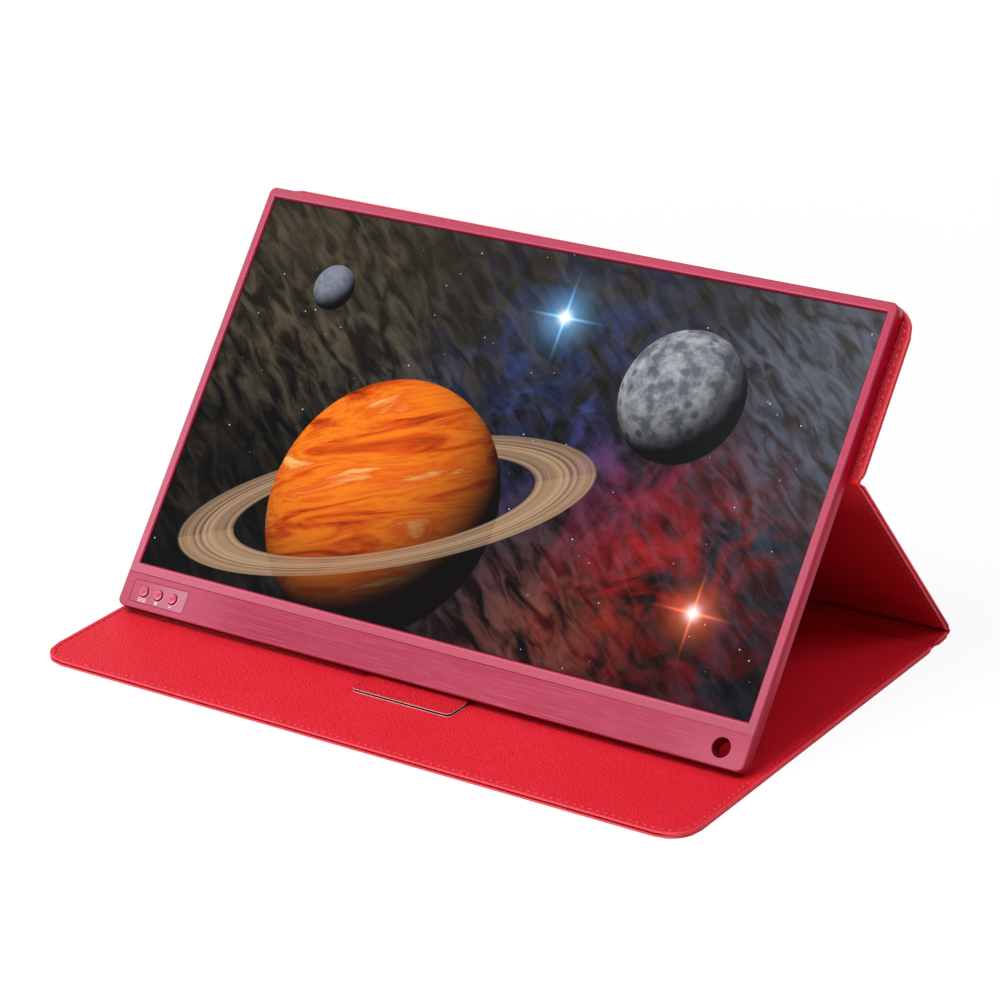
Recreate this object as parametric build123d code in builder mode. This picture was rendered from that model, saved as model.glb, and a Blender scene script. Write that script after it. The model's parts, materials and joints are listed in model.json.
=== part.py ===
from build123d import *
import os
from math import asin, atan, cos, degrees, radians, sin

# A portable monitor standing in its folding leather cover. The base flap lies on the table, the
# narrow spine and the lower back panel rise behind it as a prop, and the upper back panel carries
# the monitor, whose lower edge rests on the base flap.
# X runs across the screen, +Y away from the viewer, +Z up. The origin is the middle of the
# footprint, on the table. Lengths are in millimetres and angles in degrees.

os.makedirs("parts", exist_ok=True)

# ---------------------------------------------------------------- sizes of the monitor
screen_width = 344.16        # picture area of a 15.6 inch, 16:9 panel
screen_height = 193.59
side_bezel = 4.92
top_bezel = 5.6
lower_bezel = 5.6            # frame between the picture and the lower bar
bar_height = 17.15
seam_gap = 0.05              # between the lower bar and the front frame
body_thickness = 8.0
frame_depth = 3.4            # front frame and lower bar, the rest is the rear shell
corner_radius = 3.5
front_edge_radius = 0.8
back_edge_radius = 1.5
lip_thickness = 1.0          # front wall of the frame and the bar
side_wall = 1.2
back_wall = 1.0
window_gap = 0.3             # black line between the picture and the frame
window_bevel = 0.6

# Display panel, from its front face to its back
panel_side_border = 3.1      # glass beyond the picture
panel_top_border = 3.0
panel_lower_border = 7.0
polariser_thickness = 0.2
polariser_border = 1.2
cell_thickness = 1.0
diffuser_thickness = 0.25
guide_thickness = 0.6
reflector_thickness = 0.15
chassis_sheet = 0.4
chassis_wall = 0.6
film_clearance = 0.15        # films inside the chassis walls
led_strip_width = 2.6
panel_fit = 0.2              # panel inside its pocket

# Lower bar: buttons, plate and hole
plate_width = 33.0
plate_height = 11.0
plate_left = 6.1             # from the body's left edge
plate_low = 3.1              # from the body's lower edge
plate_thickness = 0.6
plate_corner = 1.2
plate_gap = 0.1
button_pitch = 8.8
button_first = 7.5           # from the plate's left edge to the first button
button_rise = 5.6            # from the plate's lower edge to the buttons
button_radius = 2.8
button_height = 0.7          # that stands out of the bar
button_rounding = 0.4
button_gap = 0.15
button_travel = 0.4
button_flange = 0.55         # wider than the cap, behind the wall
flange_thickness = 0.3
switch_size = 4.0
switch_body = 0.8
switch_dome_radius = 1.2
switch_dome = 0.3
switch_gap = 0.05            # left over a dome when its button is pressed
board_thickness = 0.8
post_radius = 1.2
hole_radius = 4.75           # through hole for a pen or rod
hole_from_right = 13.3
hole_from_bottom = 8.6
hole_boss_wall = 1.6

# Inside the rear shell
main_board_length = 90.0     # from the panel's left edge
main_board_height = 66.0
main_board_low = 30.0        # from the body's lower edge
main_board_sheet = 1.0
board_hole_inset = 4.0       # from the board's edges
board_hole_left = 16.0       # from its left edge, clear of the sockets
standoff_height = 0.6
standoff_radius = 2.2
screw_radius = 0.8
screw_head_radius = 1.5
screw_head_height = 0.9
screw_clearance = 0.05
board_screw_length = 1.8
socket_depth = 7.5
socket_recess = 0.4
socket_corner = 1.2
socket_wall = 0.3
socket_gap = 0.15
usb_width = 8.94
usb_height = 3.16
usb_places = (41.0, 57.0)    # from the body's lower edge
usb_tongue = 6.6
hdmi_tongue = 8.2
tongue_thickness = 0.7
socket_back = 1.3            # closed back of a socket
tongue_setback = 0.8
hdmi_width = 11.2
hdmi_height = 3.2
hdmi_place = 75.0
speaker_width = 42.0
speaker_height = 9.5
speaker_thickness = 4.6
speaker_place = 92.0         # from the middle
speaker_low = 2.0
speaker_corner = 1.5
cone_radius = 3.6
cone_depth = 0.8
grille_slot = 9.0
grille_slot_width = 1.0
grille_pitch = 11.0
grille_row = 3.0
grille_count = 3
shell_screw_places = (-125.0, -60.0, 0.0, 60.0, 125.0)
shell_screw_low = 6.75
shell_screw_length = 5.6
screw_slot_length = 1.8
screw_slot_width = 0.35
screw_slot_depth = 0.4
boss_radius = 2.2
magnet_length = 12.0
magnet_width = 4.0
magnet_thickness = 2.0
magnet_place = 120.0         # from the middle
magnet_from_top = 10.0
cable_thickness = 0.3
display_cable_width = 16.0
display_cable_inset = 14.82  # from the main board's right edge to the cable's middle
button_cable_width = 6.0
button_cable_inset = 4.0     # from the button board's right edge
button_cable_lap = 8.0       # on the back of the button board
panel_board_width = 220.0
connector_border = 2.0       # board left of the display cable's socket
panel_board_height = 10.0
connector_height = 0.8
connector_depth = 4.0
chip_thickness = 1.0

# ---------------------------------------------------------------- sizes of the cover
cover_width = 362.0
cover_shift = 1.6            # of the cover to the right, behind the monitor
skin_thickness = 1.1         # turned leather, the same for the inner lining
stiffener_thickness = 0.8
edge_groove = 1.5            # board set back from the free edges
turned_edge = 0.8            # rounding of the turned leather
cover_corner = 15.0
spine_depth = 16.0           # crease to crease
spine_slope = 5.0            # the spine rises towards the back
prop_depth = 138.0           # crease to crease
crease_height = 139.8        # of the upper crease, from the monitor's lower edge
cover_top_margin = 2.5       # upper panel beyond the monitor's top edge
flap_reach = 0.51            # base flap beyond the upper panel when the cover is shut
crease_gap = 1.8             # from a crease's axis to the panel beside it
prop_crease_gap = 3.2        # board and lining of the prop at the spine, where the fold is sharp
crease_clearance = 0.3
lean = 39.0                  # of the screen, back from upright
base_clearance = 0.3         # under the monitor's lower edge
tape_thickness = 0.4
tape_width = 320.0
tape_height = 14.0
tape_places = (155.0, 185.0, 211.0)
cover_magnet_radius = 5.0
tab_width = 56.0
tab_depth = 16.4
tab_shift = 0.9              # to the right of the middle
tab_ply = 0.5
tab_core_thickness = 0.7
tab_corner = 3.0
tab_core_inset = 0.15

# ---------------------------------------------------------------- places worked out from them
body_width = screen_width + 2 * side_bezel
half_width = body_width / 2
half_screen = screen_width / 2
frame_low = bar_height + seam_gap
screen_low = frame_low + lower_bezel
screen_top = screen_low + screen_height
body_height = screen_top + top_bezel
panel_half = half_screen + panel_side_border
panel_low = screen_low - panel_lower_border
panel_top = screen_top + panel_top_border
shell_floor = body_thickness - back_wall
shell_half = half_width - side_wall

panel_thickness = 2 * skin_thickness + stiffener_thickness
half_panel = panel_thickness / 2
half_cover = cover_width / 2
crease_radius = crease_gap - crease_clearance
stiffener_half = stiffener_thickness / 2

# Folded flat behind the monitor, the prop panel ends near the monitor's lower edge. The base flap
# reaches from there over the screen, a little past the upper panel.
shut_crease = crease_height - prop_depth
base_depth = body_height + cover_top_margin + flap_reach - shut_crease
footprint = base_depth + spine_depth * cos(radians(spine_slope)) + crease_radius
base_front = -footprint / 2
base_crease_y = base_front + base_depth
spine_crease_y = base_crease_y + spine_depth * cos(radians(spine_slope))
spine_crease_z = half_panel + spine_depth * sin(radians(spine_slope))

# The monitor's rounded lower back edge is its lowest line, just above the base flap.
lean_cos = cos(radians(lean))
lean_sin = sin(radians(lean))
edge_drop = (body_thickness - back_edge_radius) * lean_sin - back_edge_radius * (lean_cos - 1)
monitor_z = panel_thickness + base_clearance + edge_drop
back_crease_depth = body_thickness + tape_thickness + half_panel
back_crease_z = monitor_z + crease_height * lean_cos - back_crease_depth * lean_sin
prop_angle = degrees(asin((back_crease_z - spine_crease_z) / prop_depth))
back_crease_y = spine_crease_y - prop_depth * cos(radians(prop_angle))
monitor_y = back_crease_y - crease_height * lean_sin - back_crease_depth * lean_cos

# Working planes. In each, x runs across the object and y along the panel, away from the table's
# front edge or up the screen. The screen's z points at the viewer, a panel's z to its lining.
across = (1, 0, 0)
screen_plane = Plane(
    (-cover_shift, monitor_y, monitor_z), x_dir=across, z_dir=(0, -lean_cos, lean_sin)
)
base_plane = Plane((0, base_crease_y, half_panel), x_dir=across, z_dir=(0, 0, 1))
spine_rise = (cos(radians(spine_slope)), sin(radians(spine_slope)))
spine_plane = Plane(
    (0, base_crease_y, half_panel), x_dir=across, z_dir=(0, -spine_rise[1], spine_rise[0])
)
prop_rise = (cos(radians(prop_angle)), sin(radians(prop_angle)))
prop_plane = Plane(
    (0, spine_crease_y, spine_crease_z), x_dir=across, z_dir=(0, -prop_rise[1], -prop_rise[0])
)
back_plane = Plane((0, back_crease_y, back_crease_z), x_dir=across, z_dir=(0, -lean_cos, lean_sin))
to_viewer = Axis(screen_plane.origin, screen_plane.z_dir)
up_screen = Axis(screen_plane.origin, screen_plane.y_dir)
# The left side of the body: x runs up the screen and y from the front face to the back.
left_side = Plane(
    screen_plane.from_local_coords(Vector(-half_width, 0, 0)),
    x_dir=screen_plane.y_dir,
    z_dir=(-1, 0, 0),
)


def at_depth(depth):
    """Plane of the screen, moved back from the front face by a depth."""
    return screen_plane.offset(-depth)


def rectangle_between(left, right, low, high):
    """Rectangle of the sketch at hand, given by its four edges."""
    with Locations(((left + right) / 2, (low + high) / 2)):
        Rectangle(right - left, high - low)


def flat_layer(label, front_depth, thickness, half, low, high):
    """A flat sheet inside the monitor, centred across it."""
    with BuildPart() as sheet:
        with BuildSketch(at_depth(front_depth + thickness)):
            rectangle_between(-half, half, low, high)
        extrude(amount=thickness)
    sheet.part.label = label
    export_step(sheet.part, f"parts/{label}.step")


# ================================================================ front of the monitor
with BuildPart() as front_frame:
    with BuildSketch(at_depth(frame_depth)) as frame_outline:
        rectangle_between(-half_width, half_width, frame_low, body_height)
        fillet(frame_outline.vertices().group_by(Axis.Y)[-1], corner_radius)
    extrude(amount=frame_depth)
    with BuildSketch(at_depth(frame_depth)):
        rectangle_between(
            -panel_half - panel_fit, panel_half + panel_fit, frame_low, panel_top + panel_fit
        )
    extrude(amount=frame_depth - lip_thickness, mode=Mode.SUBTRACT)
    with BuildSketch(at_depth(frame_depth)):
        rectangle_between(
            -half_screen - window_gap,
            half_screen + window_gap,
            screen_low - window_gap,
            screen_top + window_gap,
        )
    extrude(amount=frame_depth, mode=Mode.SUBTRACT)
    frame_face = front_frame.faces().sort_by(to_viewer)[-1]
    chamfer(frame_face.inner_wires()[0].edges(), window_bevel)
    frame_face = front_frame.faces().sort_by(to_viewer)[-1]
    fillet(frame_face.outer_wire().edges().sort_by(up_screen)[1:], front_edge_radius)
front_frame.part.label = "front_frame"
export_step(front_frame.part, "parts/front_frame.step")

# Lower bar: a shallow tray behind a brushed face, with the button plate's recess and the hole.
plate_x = -half_width + plate_left
button_places = [
    (plate_x + button_first + index * button_pitch, plate_low + button_rise) for index in range(3)
]
post_places = [
    (plate_x + post_radius, plate_low + button_rise),
    (plate_x + plate_width - post_radius, plate_low + button_rise),
]
hole_place = (half_width - hole_from_right, hole_from_bottom)
shell_screws = [(x, shell_screw_low) for x in shell_screw_places]
switch_front = lip_thickness + flange_thickness + button_travel + switch_dome + switch_gap
button_board_front = switch_front + switch_body

with BuildPart() as lower_bar:
    with BuildSketch(at_depth(frame_depth)) as bar_outline:
        rectangle_between(-half_width, half_width, 0, bar_height)
        fillet(bar_outline.vertices().group_by(Axis.Y)[0], corner_radius)
    extrude(amount=frame_depth)
    bar_face = lower_bar.faces().sort_by(to_viewer)[-1]
    fillet(bar_face.outer_wire().edges().sort_by(up_screen)[:-1], front_edge_radius)
    with BuildSketch(at_depth(frame_depth)) as bar_hollow:
        rectangle_between(-shell_half, shell_half, side_wall, bar_height)
        fillet(bar_hollow.vertices().group_by(Axis.Y)[0], corner_radius - side_wall)
    extrude(amount=frame_depth - lip_thickness, mode=Mode.SUBTRACT)
    with BuildSketch(at_depth(frame_depth)):
        with Locations(hole_place):
            Circle(hole_radius + hole_boss_wall)
        with Locations(*shell_screws):
            Circle(boss_radius)
    extrude(amount=frame_depth - lip_thickness)
    with BuildSketch(at_depth(button_board_front)):
        with Locations(*post_places):
            Circle(post_radius)
    extrude(amount=button_board_front - lip_thickness)
    with BuildSketch(at_depth(frame_depth)):
        with Locations(hole_place):
            Circle(hole_radius)
    extrude(amount=frame_depth, mode=Mode.SUBTRACT)
    with BuildSketch(at_depth(frame_depth)):
        with Locations(*shell_screws):
            Circle(screw_radius + screw_clearance)
    extrude(amount=frame_depth - lip_thickness, mode=Mode.SUBTRACT)
    with BuildSketch(at_depth(plate_thickness)) as plate_recess:
        rectangle_between(plate_x, plate_x + plate_width, plate_low, plate_low + plate_height)
        fillet(plate_recess.vertices(), plate_corner)
    extrude(amount=plate_thickness, mode=Mode.SUBTRACT)
    with BuildSketch(at_depth(lip_thickness)):
        with Locations(*button_places):
            Circle(button_radius + button_gap)
    extrude(amount=lip_thickness, mode=Mode.SUBTRACT)
lower_bar.part.label = "lower_bar"
export_step(lower_bar.part, "parts/lower_bar.step")

with BuildPart() as button_plate:
    with BuildSketch(at_depth(plate_thickness)) as plate_outline:
        rectangle_between(
            plate_x + plate_gap,
            plate_x + plate_width - plate_gap,
            plate_low + plate_gap,
            plate_low + plate_height - plate_gap,
        )
        fillet(plate_outline.vertices(), plate_corner - plate_gap)
        with Locations(*button_places):
            Circle(button_radius + button_gap, mode=Mode.SUBTRACT)
    extrude(amount=plate_thickness)
button_plate.part.label = "button_plate"
export_step(button_plate.part, "parts/button_plate.step")

# Three round push buttons, each with a flange that keeps it behind the bar's front wall.
for button_name, button_place in zip(("menu", "plus", "minus"), button_places):
    with BuildPart() as button:
        with BuildSketch(at_depth(lip_thickness + flange_thickness)):
            with Locations(button_place):
                Circle(button_radius + button_flange)
        extrude(amount=flange_thickness)
        with BuildSketch(at_depth(lip_thickness)):
            with Locations(button_place):
                Circle(button_radius)
        extrude(amount=lip_thickness + button_height)
        fillet(button.faces().sort_by(to_viewer)[-1].edges(), button_rounding)
    button.part.label = f"button_{button_name}"
    export_step(button.part, f"parts/button_{button_name}.step")

with BuildPart() as tact_switches:
    with BuildSketch(at_depth(button_board_front)):
        with Locations(*button_places):
            Rectangle(switch_size, switch_size)
    extrude(amount=switch_body)
    with BuildSketch(at_depth(switch_front)):
        with Locations(*button_places):
            Circle(switch_dome_radius)
    extrude(amount=switch_dome)
tact_switches.part.label = "tact_switches"
export_step(tact_switches.part, "parts/tact_switches.step")

board_low = side_wall + panel_fit
button_board_back = button_board_front + board_thickness
with BuildPart() as button_board:
    with BuildSketch(at_depth(button_board_back)):
        rectangle_between(plate_x, plate_x + plate_width, board_low, panel_low - panel_fit)
    extrude(amount=board_thickness)
button_board.part.label = "button_board"
export_step(button_board.part, "parts/button_board.step")


# ================================================================ display panel
cell_front = lip_thickness + polariser_thickness
films_front = cell_front + cell_thickness
guide_front = films_front + diffuser_thickness
reflector_front = guide_front + guide_thickness
chassis_front = reflector_front + reflector_thickness
panel_back = chassis_front + chassis_sheet
film_half = panel_half - chassis_wall - film_clearance
film_low = panel_low + chassis_wall + film_clearance
film_top = panel_top - chassis_wall - film_clearance
guide_low = film_low + led_strip_width

flat_layer(
    "polariser",
    lip_thickness,
    polariser_thickness,
    half_screen + polariser_border,
    screen_low - polariser_border,
    screen_top + polariser_border,
)
flat_layer("lcd_cell", cell_front, cell_thickness, panel_half, panel_low, panel_top)
flat_layer("diffuser_film", films_front, diffuser_thickness, film_half, film_low, film_top)
flat_layer("light_guide", guide_front, guide_thickness, film_half, guide_low, film_top)
flat_layer("led_strip", guide_front, guide_thickness, film_half, film_low, guide_low)
flat_layer("reflector_film", reflector_front, reflector_thickness, film_half, film_low, film_top)

with BuildPart() as panel_chassis:
    with BuildSketch(at_depth(panel_back)):
        rectangle_between(-panel_half, panel_half, panel_low, panel_top)
    extrude(amount=panel_back - films_front)
    with BuildSketch(at_depth(chassis_front)):
        rectangle_between(
            -panel_half + chassis_wall,
            panel_half - chassis_wall,
            panel_low + chassis_wall,
            panel_top - chassis_wall,
        )
    extrude(amount=chassis_front - films_front, mode=Mode.SUBTRACT)
panel_chassis.part.label = "panel_chassis"
export_step(panel_chassis.part, "parts/panel_chassis.step")

# Timing board on the back of the panel, with the socket of the display cable on it.
panel_board_back = panel_back + board_thickness
board_left = -panel_half
board_right = board_left + main_board_length
cable_right = board_right - display_cable_inset + display_cable_width / 2
cable_left = cable_right - display_cable_width
panel_board_left = cable_left - connector_border
panel_board_top = panel_low + panel_board_height
with BuildPart() as panel_board:
    with BuildSketch(at_depth(panel_board_back)):
        rectangle_between(
            panel_board_left, panel_board_left + panel_board_width, panel_low, panel_board_top
        )
    extrude(amount=board_thickness)
    with BuildSketch(at_depth(panel_board_back + connector_height)):
        rectangle_between(
            cable_left, cable_right, panel_board_top - connector_depth, panel_board_top
        )
    extrude(amount=connector_height)
panel_board.part.label = "panel_board"
export_step(panel_board.part, "parts/panel_board.step")

# ================================================================ electronics in the shell
board_back = shell_floor - standoff_height
board_front = board_back - main_board_sheet
board_top = main_board_low + main_board_height
socket_mouth = -half_width + socket_recess
socket_end = socket_mouth + socket_depth
socket_middle = (panel_back + shell_floor) / 2
socket_sizes = [(place, usb_width, usb_height) for place in usb_places]
socket_sizes.append((hdmi_place, hdmi_width, hdmi_height))
board_holes = [
    (hole_x, hole_y)
    for hole_x in (board_left + board_hole_left, board_right - board_hole_inset)
    for hole_y in (main_board_low + board_hole_inset, board_top - board_hole_inset)
]
display_cable_front = panel_board_back + (connector_height - cable_thickness) / 2
button_cable_left = plate_x + plate_width - button_cable_inset - button_cable_width

with BuildPart() as main_board:
    with BuildSketch(at_depth(board_back)):
        rectangle_between(board_left, board_right, main_board_low, board_top)
        for place, width, height in socket_sizes:
            with Locations(((board_left + socket_end) / 2, place)):
                Rectangle(
                    socket_end - board_left + 2 * socket_gap,
                    width + 2 * socket_gap,
                    mode=Mode.SUBTRACT,
                )
        with Locations(*board_holes):
            Circle(screw_radius + screw_clearance, mode=Mode.SUBTRACT)
    extrude(amount=main_board_sheet)
    with BuildSketch(at_depth(board_front)):
        rectangle_between(cable_left, cable_right, main_board_low, main_board_low + connector_depth)
    extrude(amount=board_front - display_cable_front)
    with BuildSketch(at_depth(board_front)):
        rectangle_between(
            button_cable_left,
            button_cable_left + button_cable_width,
            main_board_low,
            main_board_low + connector_depth,
        )
    extrude(amount=board_front - button_board_back)
main_board.part.label = "main_board"
export_step(main_board.part, "parts/main_board.step")

# Chips on the board's front: place from the board's lower left corner, then width and height.
chip_layout = (
    (48.0, 34.0, 14.0, 14.0),
    (30.0, 18.0, 7.0, 7.0),
    (70.0, 40.0, 8.0, 10.0),
    (30.0, 50.0, 6.0, 5.0),
    (70.0, 18.0, 5.0, 5.0),
)
with BuildPart() as board_chips:
    with BuildSketch(at_depth(board_front)):
        for chip_x, chip_y, chip_width, chip_height in chip_layout:
            with Locations((board_left + chip_x, main_board_low + chip_y)):
                Rectangle(chip_width, chip_height)
    extrude(amount=chip_thickness)
board_chips.part.label = "board_chips"
export_step(board_chips.part, "parts/board_chips.step")

flat_cable_ends = (
    ("display_cable", display_cable_front, cable_left, cable_right, panel_board_top),
    (
        "button_cable",
        button_board_back,
        button_cable_left,
        button_cable_left + button_cable_width,
        panel_low - panel_fit - button_cable_lap,
    ),
)
for cable_name, cable_front, left, right, low in flat_cable_ends:
    with BuildPart() as flat_cable:
        with BuildSketch(at_depth(cable_front + cable_thickness)):
            rectangle_between(left, right, low, main_board_low)
        extrude(amount=cable_thickness)
    flat_cable.part.label = cable_name
    export_step(flat_cable.part, f"parts/{cable_name}.step")


def add_socket(place, width, height, tongue_width):
    """One socket of the part at hand, in the left side of the body, open to the left."""
    centre = (place, socket_middle)
    with BuildSketch(left_side.offset(-socket_recess)) as outline:
        with Locations(centre):
            RectangleRounded(width, height, socket_corner)
    extrude(outline.sketch, amount=-socket_depth)
    with BuildSketch(left_side.offset(-socket_recess)) as mouth:
        with Locations(centre):
            RectangleRounded(
                width - 2 * socket_wall, height - 2 * socket_wall, socket_corner - socket_wall
            )
    extrude(mouth.sketch, amount=-(socket_depth - socket_back), mode=Mode.SUBTRACT)
    with BuildSketch(left_side.offset(-socket_recess - tongue_setback)) as tongue:
        with Locations(centre):
            Rectangle(tongue_width, tongue_thickness)
    extrude(tongue.sketch, amount=-(socket_depth - tongue_setback))


with BuildPart() as usb_c_sockets:
    for usb_place in usb_places:
        add_socket(usb_place, usb_width, usb_height, usb_tongue)
usb_c_sockets.part.label = "usb_c_sockets"
export_step(usb_c_sockets.part, "parts/usb_c_sockets.step")

with BuildPart() as hdmi_socket:
    add_socket(hdmi_place, hdmi_width, hdmi_height, hdmi_tongue)
hdmi_socket.part.label = "hdmi_socket"
export_step(hdmi_socket.part, "parts/hdmi_socket.step")

# Board screws stand on the board and end in the rear shell's standoffs.
with BuildPart() as board_screws:
    with BuildSketch(at_depth(board_front)):
        with Locations(*board_holes):
            Circle(screw_head_radius)
    extrude(amount=screw_head_height)
    with BuildSketch(at_depth(board_front + board_screw_length)):
        with Locations(*board_holes):
            Circle(screw_radius)
    extrude(amount=board_screw_length)
board_screws.part.label = "board_screws"
export_step(board_screws.part, "parts/board_screws.step")

for speaker_name, side in (("left", -1), ("right", 1)):
    with BuildPart() as speaker:
        with BuildSketch(at_depth(shell_floor)):
            with Locations((side * speaker_place, speaker_low + speaker_height / 2)):
                RectangleRounded(speaker_width, speaker_height, speaker_corner)
        extrude(amount=speaker_thickness)
        with BuildSketch(at_depth(shell_floor)):
            with Locations((side * speaker_place, speaker_low + speaker_height / 2)):
                with GridLocations(2 * grille_pitch, 0, 2, 1):
                    Circle(cone_radius)
        extrude(amount=cone_depth, mode=Mode.SUBTRACT)
    speaker.part.label = f"speaker_{speaker_name}"
    export_step(speaker.part, f"parts/speaker_{speaker_name}.step")

with BuildPart() as frame_magnets:
    with BuildSketch(at_depth(shell_floor)):
        with Locations((-magnet_place, body_height - magnet_from_top)):
            Rectangle(magnet_length, magnet_width)
        with Locations((magnet_place, body_height - magnet_from_top)):
            Rectangle(magnet_length, magnet_width)
    extrude(amount=magnet_thickness)
frame_magnets.part.label = "frame_magnets"
export_step(frame_magnets.part, "parts/frame_magnets.step")

# ================================================================ rear shell
countersink = degrees(atan((screw_head_radius - screw_radius) / screw_head_height))
shell_depth = shell_floor - frame_depth

with BuildPart() as rear_shell:
    with BuildSketch(at_depth(body_thickness)) as shell_outline:
        rectangle_between(-half_width, half_width, 0, body_height)
        fillet(shell_outline.vertices(), corner_radius)
    extrude(amount=body_thickness - frame_depth)
    fillet(rear_shell.faces().sort_by(to_viewer)[0].edges(), back_edge_radius)
    with BuildSketch(at_depth(shell_floor)) as shell_hollow:
        rectangle_between(-shell_half, shell_half, side_wall, body_height - side_wall)
        fillet(shell_hollow.vertices(), corner_radius - side_wall)
    extrude(amount=shell_depth, mode=Mode.SUBTRACT)
    with BuildSketch(at_depth(shell_floor)):
        with Locations(hole_place):
            Circle(hole_radius + hole_boss_wall)
        with Locations(*shell_screws):
            Circle(boss_radius)
    extrude(amount=shell_depth)
    with BuildSketch(at_depth(shell_floor)):
        with Locations(*board_holes):
            Circle(standoff_radius)
    extrude(amount=standoff_height)
    with BuildSketch(at_depth(body_thickness)):
        with Locations(hole_place):
            Circle(hole_radius)
        with Locations(*shell_screws):
            Circle(screw_radius + screw_clearance)
    extrude(amount=body_thickness - frame_depth, mode=Mode.SUBTRACT)
    with BuildSketch(at_depth(body_thickness)):
        with Locations(*shell_screws):
            Circle(screw_head_radius + screw_clearance)
    extrude(amount=screw_head_height, taper=countersink, mode=Mode.SUBTRACT)
    with BuildSketch(at_depth(board_front + board_screw_length + screw_clearance)):
        with Locations(*board_holes):
            Circle(screw_radius + screw_clearance)
    extrude(amount=board_screw_length, mode=Mode.SUBTRACT)
    with BuildSketch(at_depth(body_thickness)):
        for side in (-1, 1):
            with Locations((side * speaker_place, speaker_low + speaker_height / 2)):
                with GridLocations(grille_pitch, grille_row, grille_count, 2):
                    SlotOverall(grille_slot, grille_slot_width)
    extrude(amount=back_wall, mode=Mode.SUBTRACT)
    for place, width, height in socket_sizes:
        with BuildSketch(left_side) as socket_hole:
            with Locations((place, socket_middle)):
                RectangleRounded(
                    width + 2 * socket_gap, height + 2 * socket_gap, socket_corner + socket_gap
                )
        extrude(socket_hole.sketch, amount=-side_wall, mode=Mode.SUBTRACT)
rear_shell.part.label = "rear_shell"
export_step(rear_shell.part, "parts/rear_shell.step")

with BuildPart() as shell_screws_group:
    with BuildSketch(at_depth(body_thickness)):
        with Locations(*shell_screws):
            Circle(screw_head_radius)
    extrude(amount=screw_head_height, taper=countersink)
    with BuildSketch(at_depth(body_thickness)):
        with Locations(*shell_screws):
            Circle(screw_radius)
    extrude(amount=shell_screw_length)
    with BuildSketch(at_depth(body_thickness)):
        with Locations(*shell_screws):
            Rectangle(screw_slot_length, screw_slot_width)
            Rectangle(screw_slot_width, screw_slot_length)
    extrude(amount=screw_slot_depth, mode=Mode.SUBTRACT)
shell_screws_group.part.label = "shell_screws"
export_step(shell_screws_group.part, "parts/shell_screws.step")

# Double-sided tape between the rear shell and the upper back panel.
with BuildPart() as back_tape:
    with BuildSketch(at_depth(body_thickness + tape_thickness)):
        for tape_place in tape_places:
            with Locations((0, tape_place)):
                Rectangle(tape_width, tape_height)
    extrude(amount=tape_thickness)
back_tape.part.label = "back_tape"
export_step(back_tape.part, "parts/back_tape.step")

# ================================================================ cover


def leather_layer(label, place, outer, low, high, round_end=None):
    """Outer skin or inner lining of a cover panel, its edges turned and rounded."""
    with BuildPart() as leather:
        with BuildSketch(place.offset(-half_panel if outer else stiffener_half)) as outline:
            rectangle_between(-half_cover, half_cover, low, high)
            if round_end is not None:
                fillet(outline.vertices().group_by(Axis.Y)[round_end], cover_corner)
        extrude(amount=skin_thickness)
        faces = leather.faces().sort_by(Axis(place.origin, place.z_dir))
        fillet(faces[0 if outer else -1].edges(), turned_edge)
    leather.part.label = label
    export_step(leather.part, f"parts/{label}.step")


def stiffener(label, place, low, high, round_end=None, pockets=()):
    """Board between skin and lining, set back from the panel's free edges."""
    with BuildPart() as board:
        with BuildSketch(place.offset(-stiffener_half)) as outline:
            rectangle_between(-half_cover + edge_groove, half_cover - edge_groove, low, high)
            if round_end is not None:
                corners = outline.vertices().group_by(Axis.Y)[round_end]
                fillet(corners, cover_corner - edge_groove)
            if pockets:
                with Locations(*pockets):
                    Circle(cover_magnet_radius, mode=Mode.SUBTRACT)
        extrude(amount=stiffener_thickness)
    board.part.label = label
    export_step(board.part, f"parts/{label}.step")


def crease(label, place):
    """Leather fold that joins two panels, centred on the axis they turn about."""
    with BuildPart() as fold:
        with BuildSketch(Plane(place.origin, x_dir=(0, 1, 0), z_dir=across)):
            Circle(crease_radius)
        extrude(amount=half_cover, both=True)
    fold.part.label = label
    export_step(fold.part, f"parts/{label}.step")


# Base flap. Its magnets lie under the monitor's own when the flap is folded over the screen.
magnet_y = shut_crease - (body_height - magnet_from_top)
base_magnet_places = [
    (place - cover_shift, magnet_y) for place in (-magnet_place, magnet_place)
]
leather_layer("base_skin", base_plane, True, -base_depth, -crease_gap, 0)
leather_layer("base_lining", base_plane, False, -base_depth, -crease_gap, 0)
stiffener(
    "base_board", base_plane, edge_groove - base_depth, -crease_gap, 0, base_magnet_places
)
with BuildPart() as base_magnets:
    with BuildSketch(base_plane.offset(-stiffener_half)):
        with Locations(*base_magnet_places):
            Circle(cover_magnet_radius)
    extrude(amount=stiffener_thickness)
base_magnets.part.label = "base_magnets"
export_step(base_magnets.part, "parts/base_magnets.step")

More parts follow.
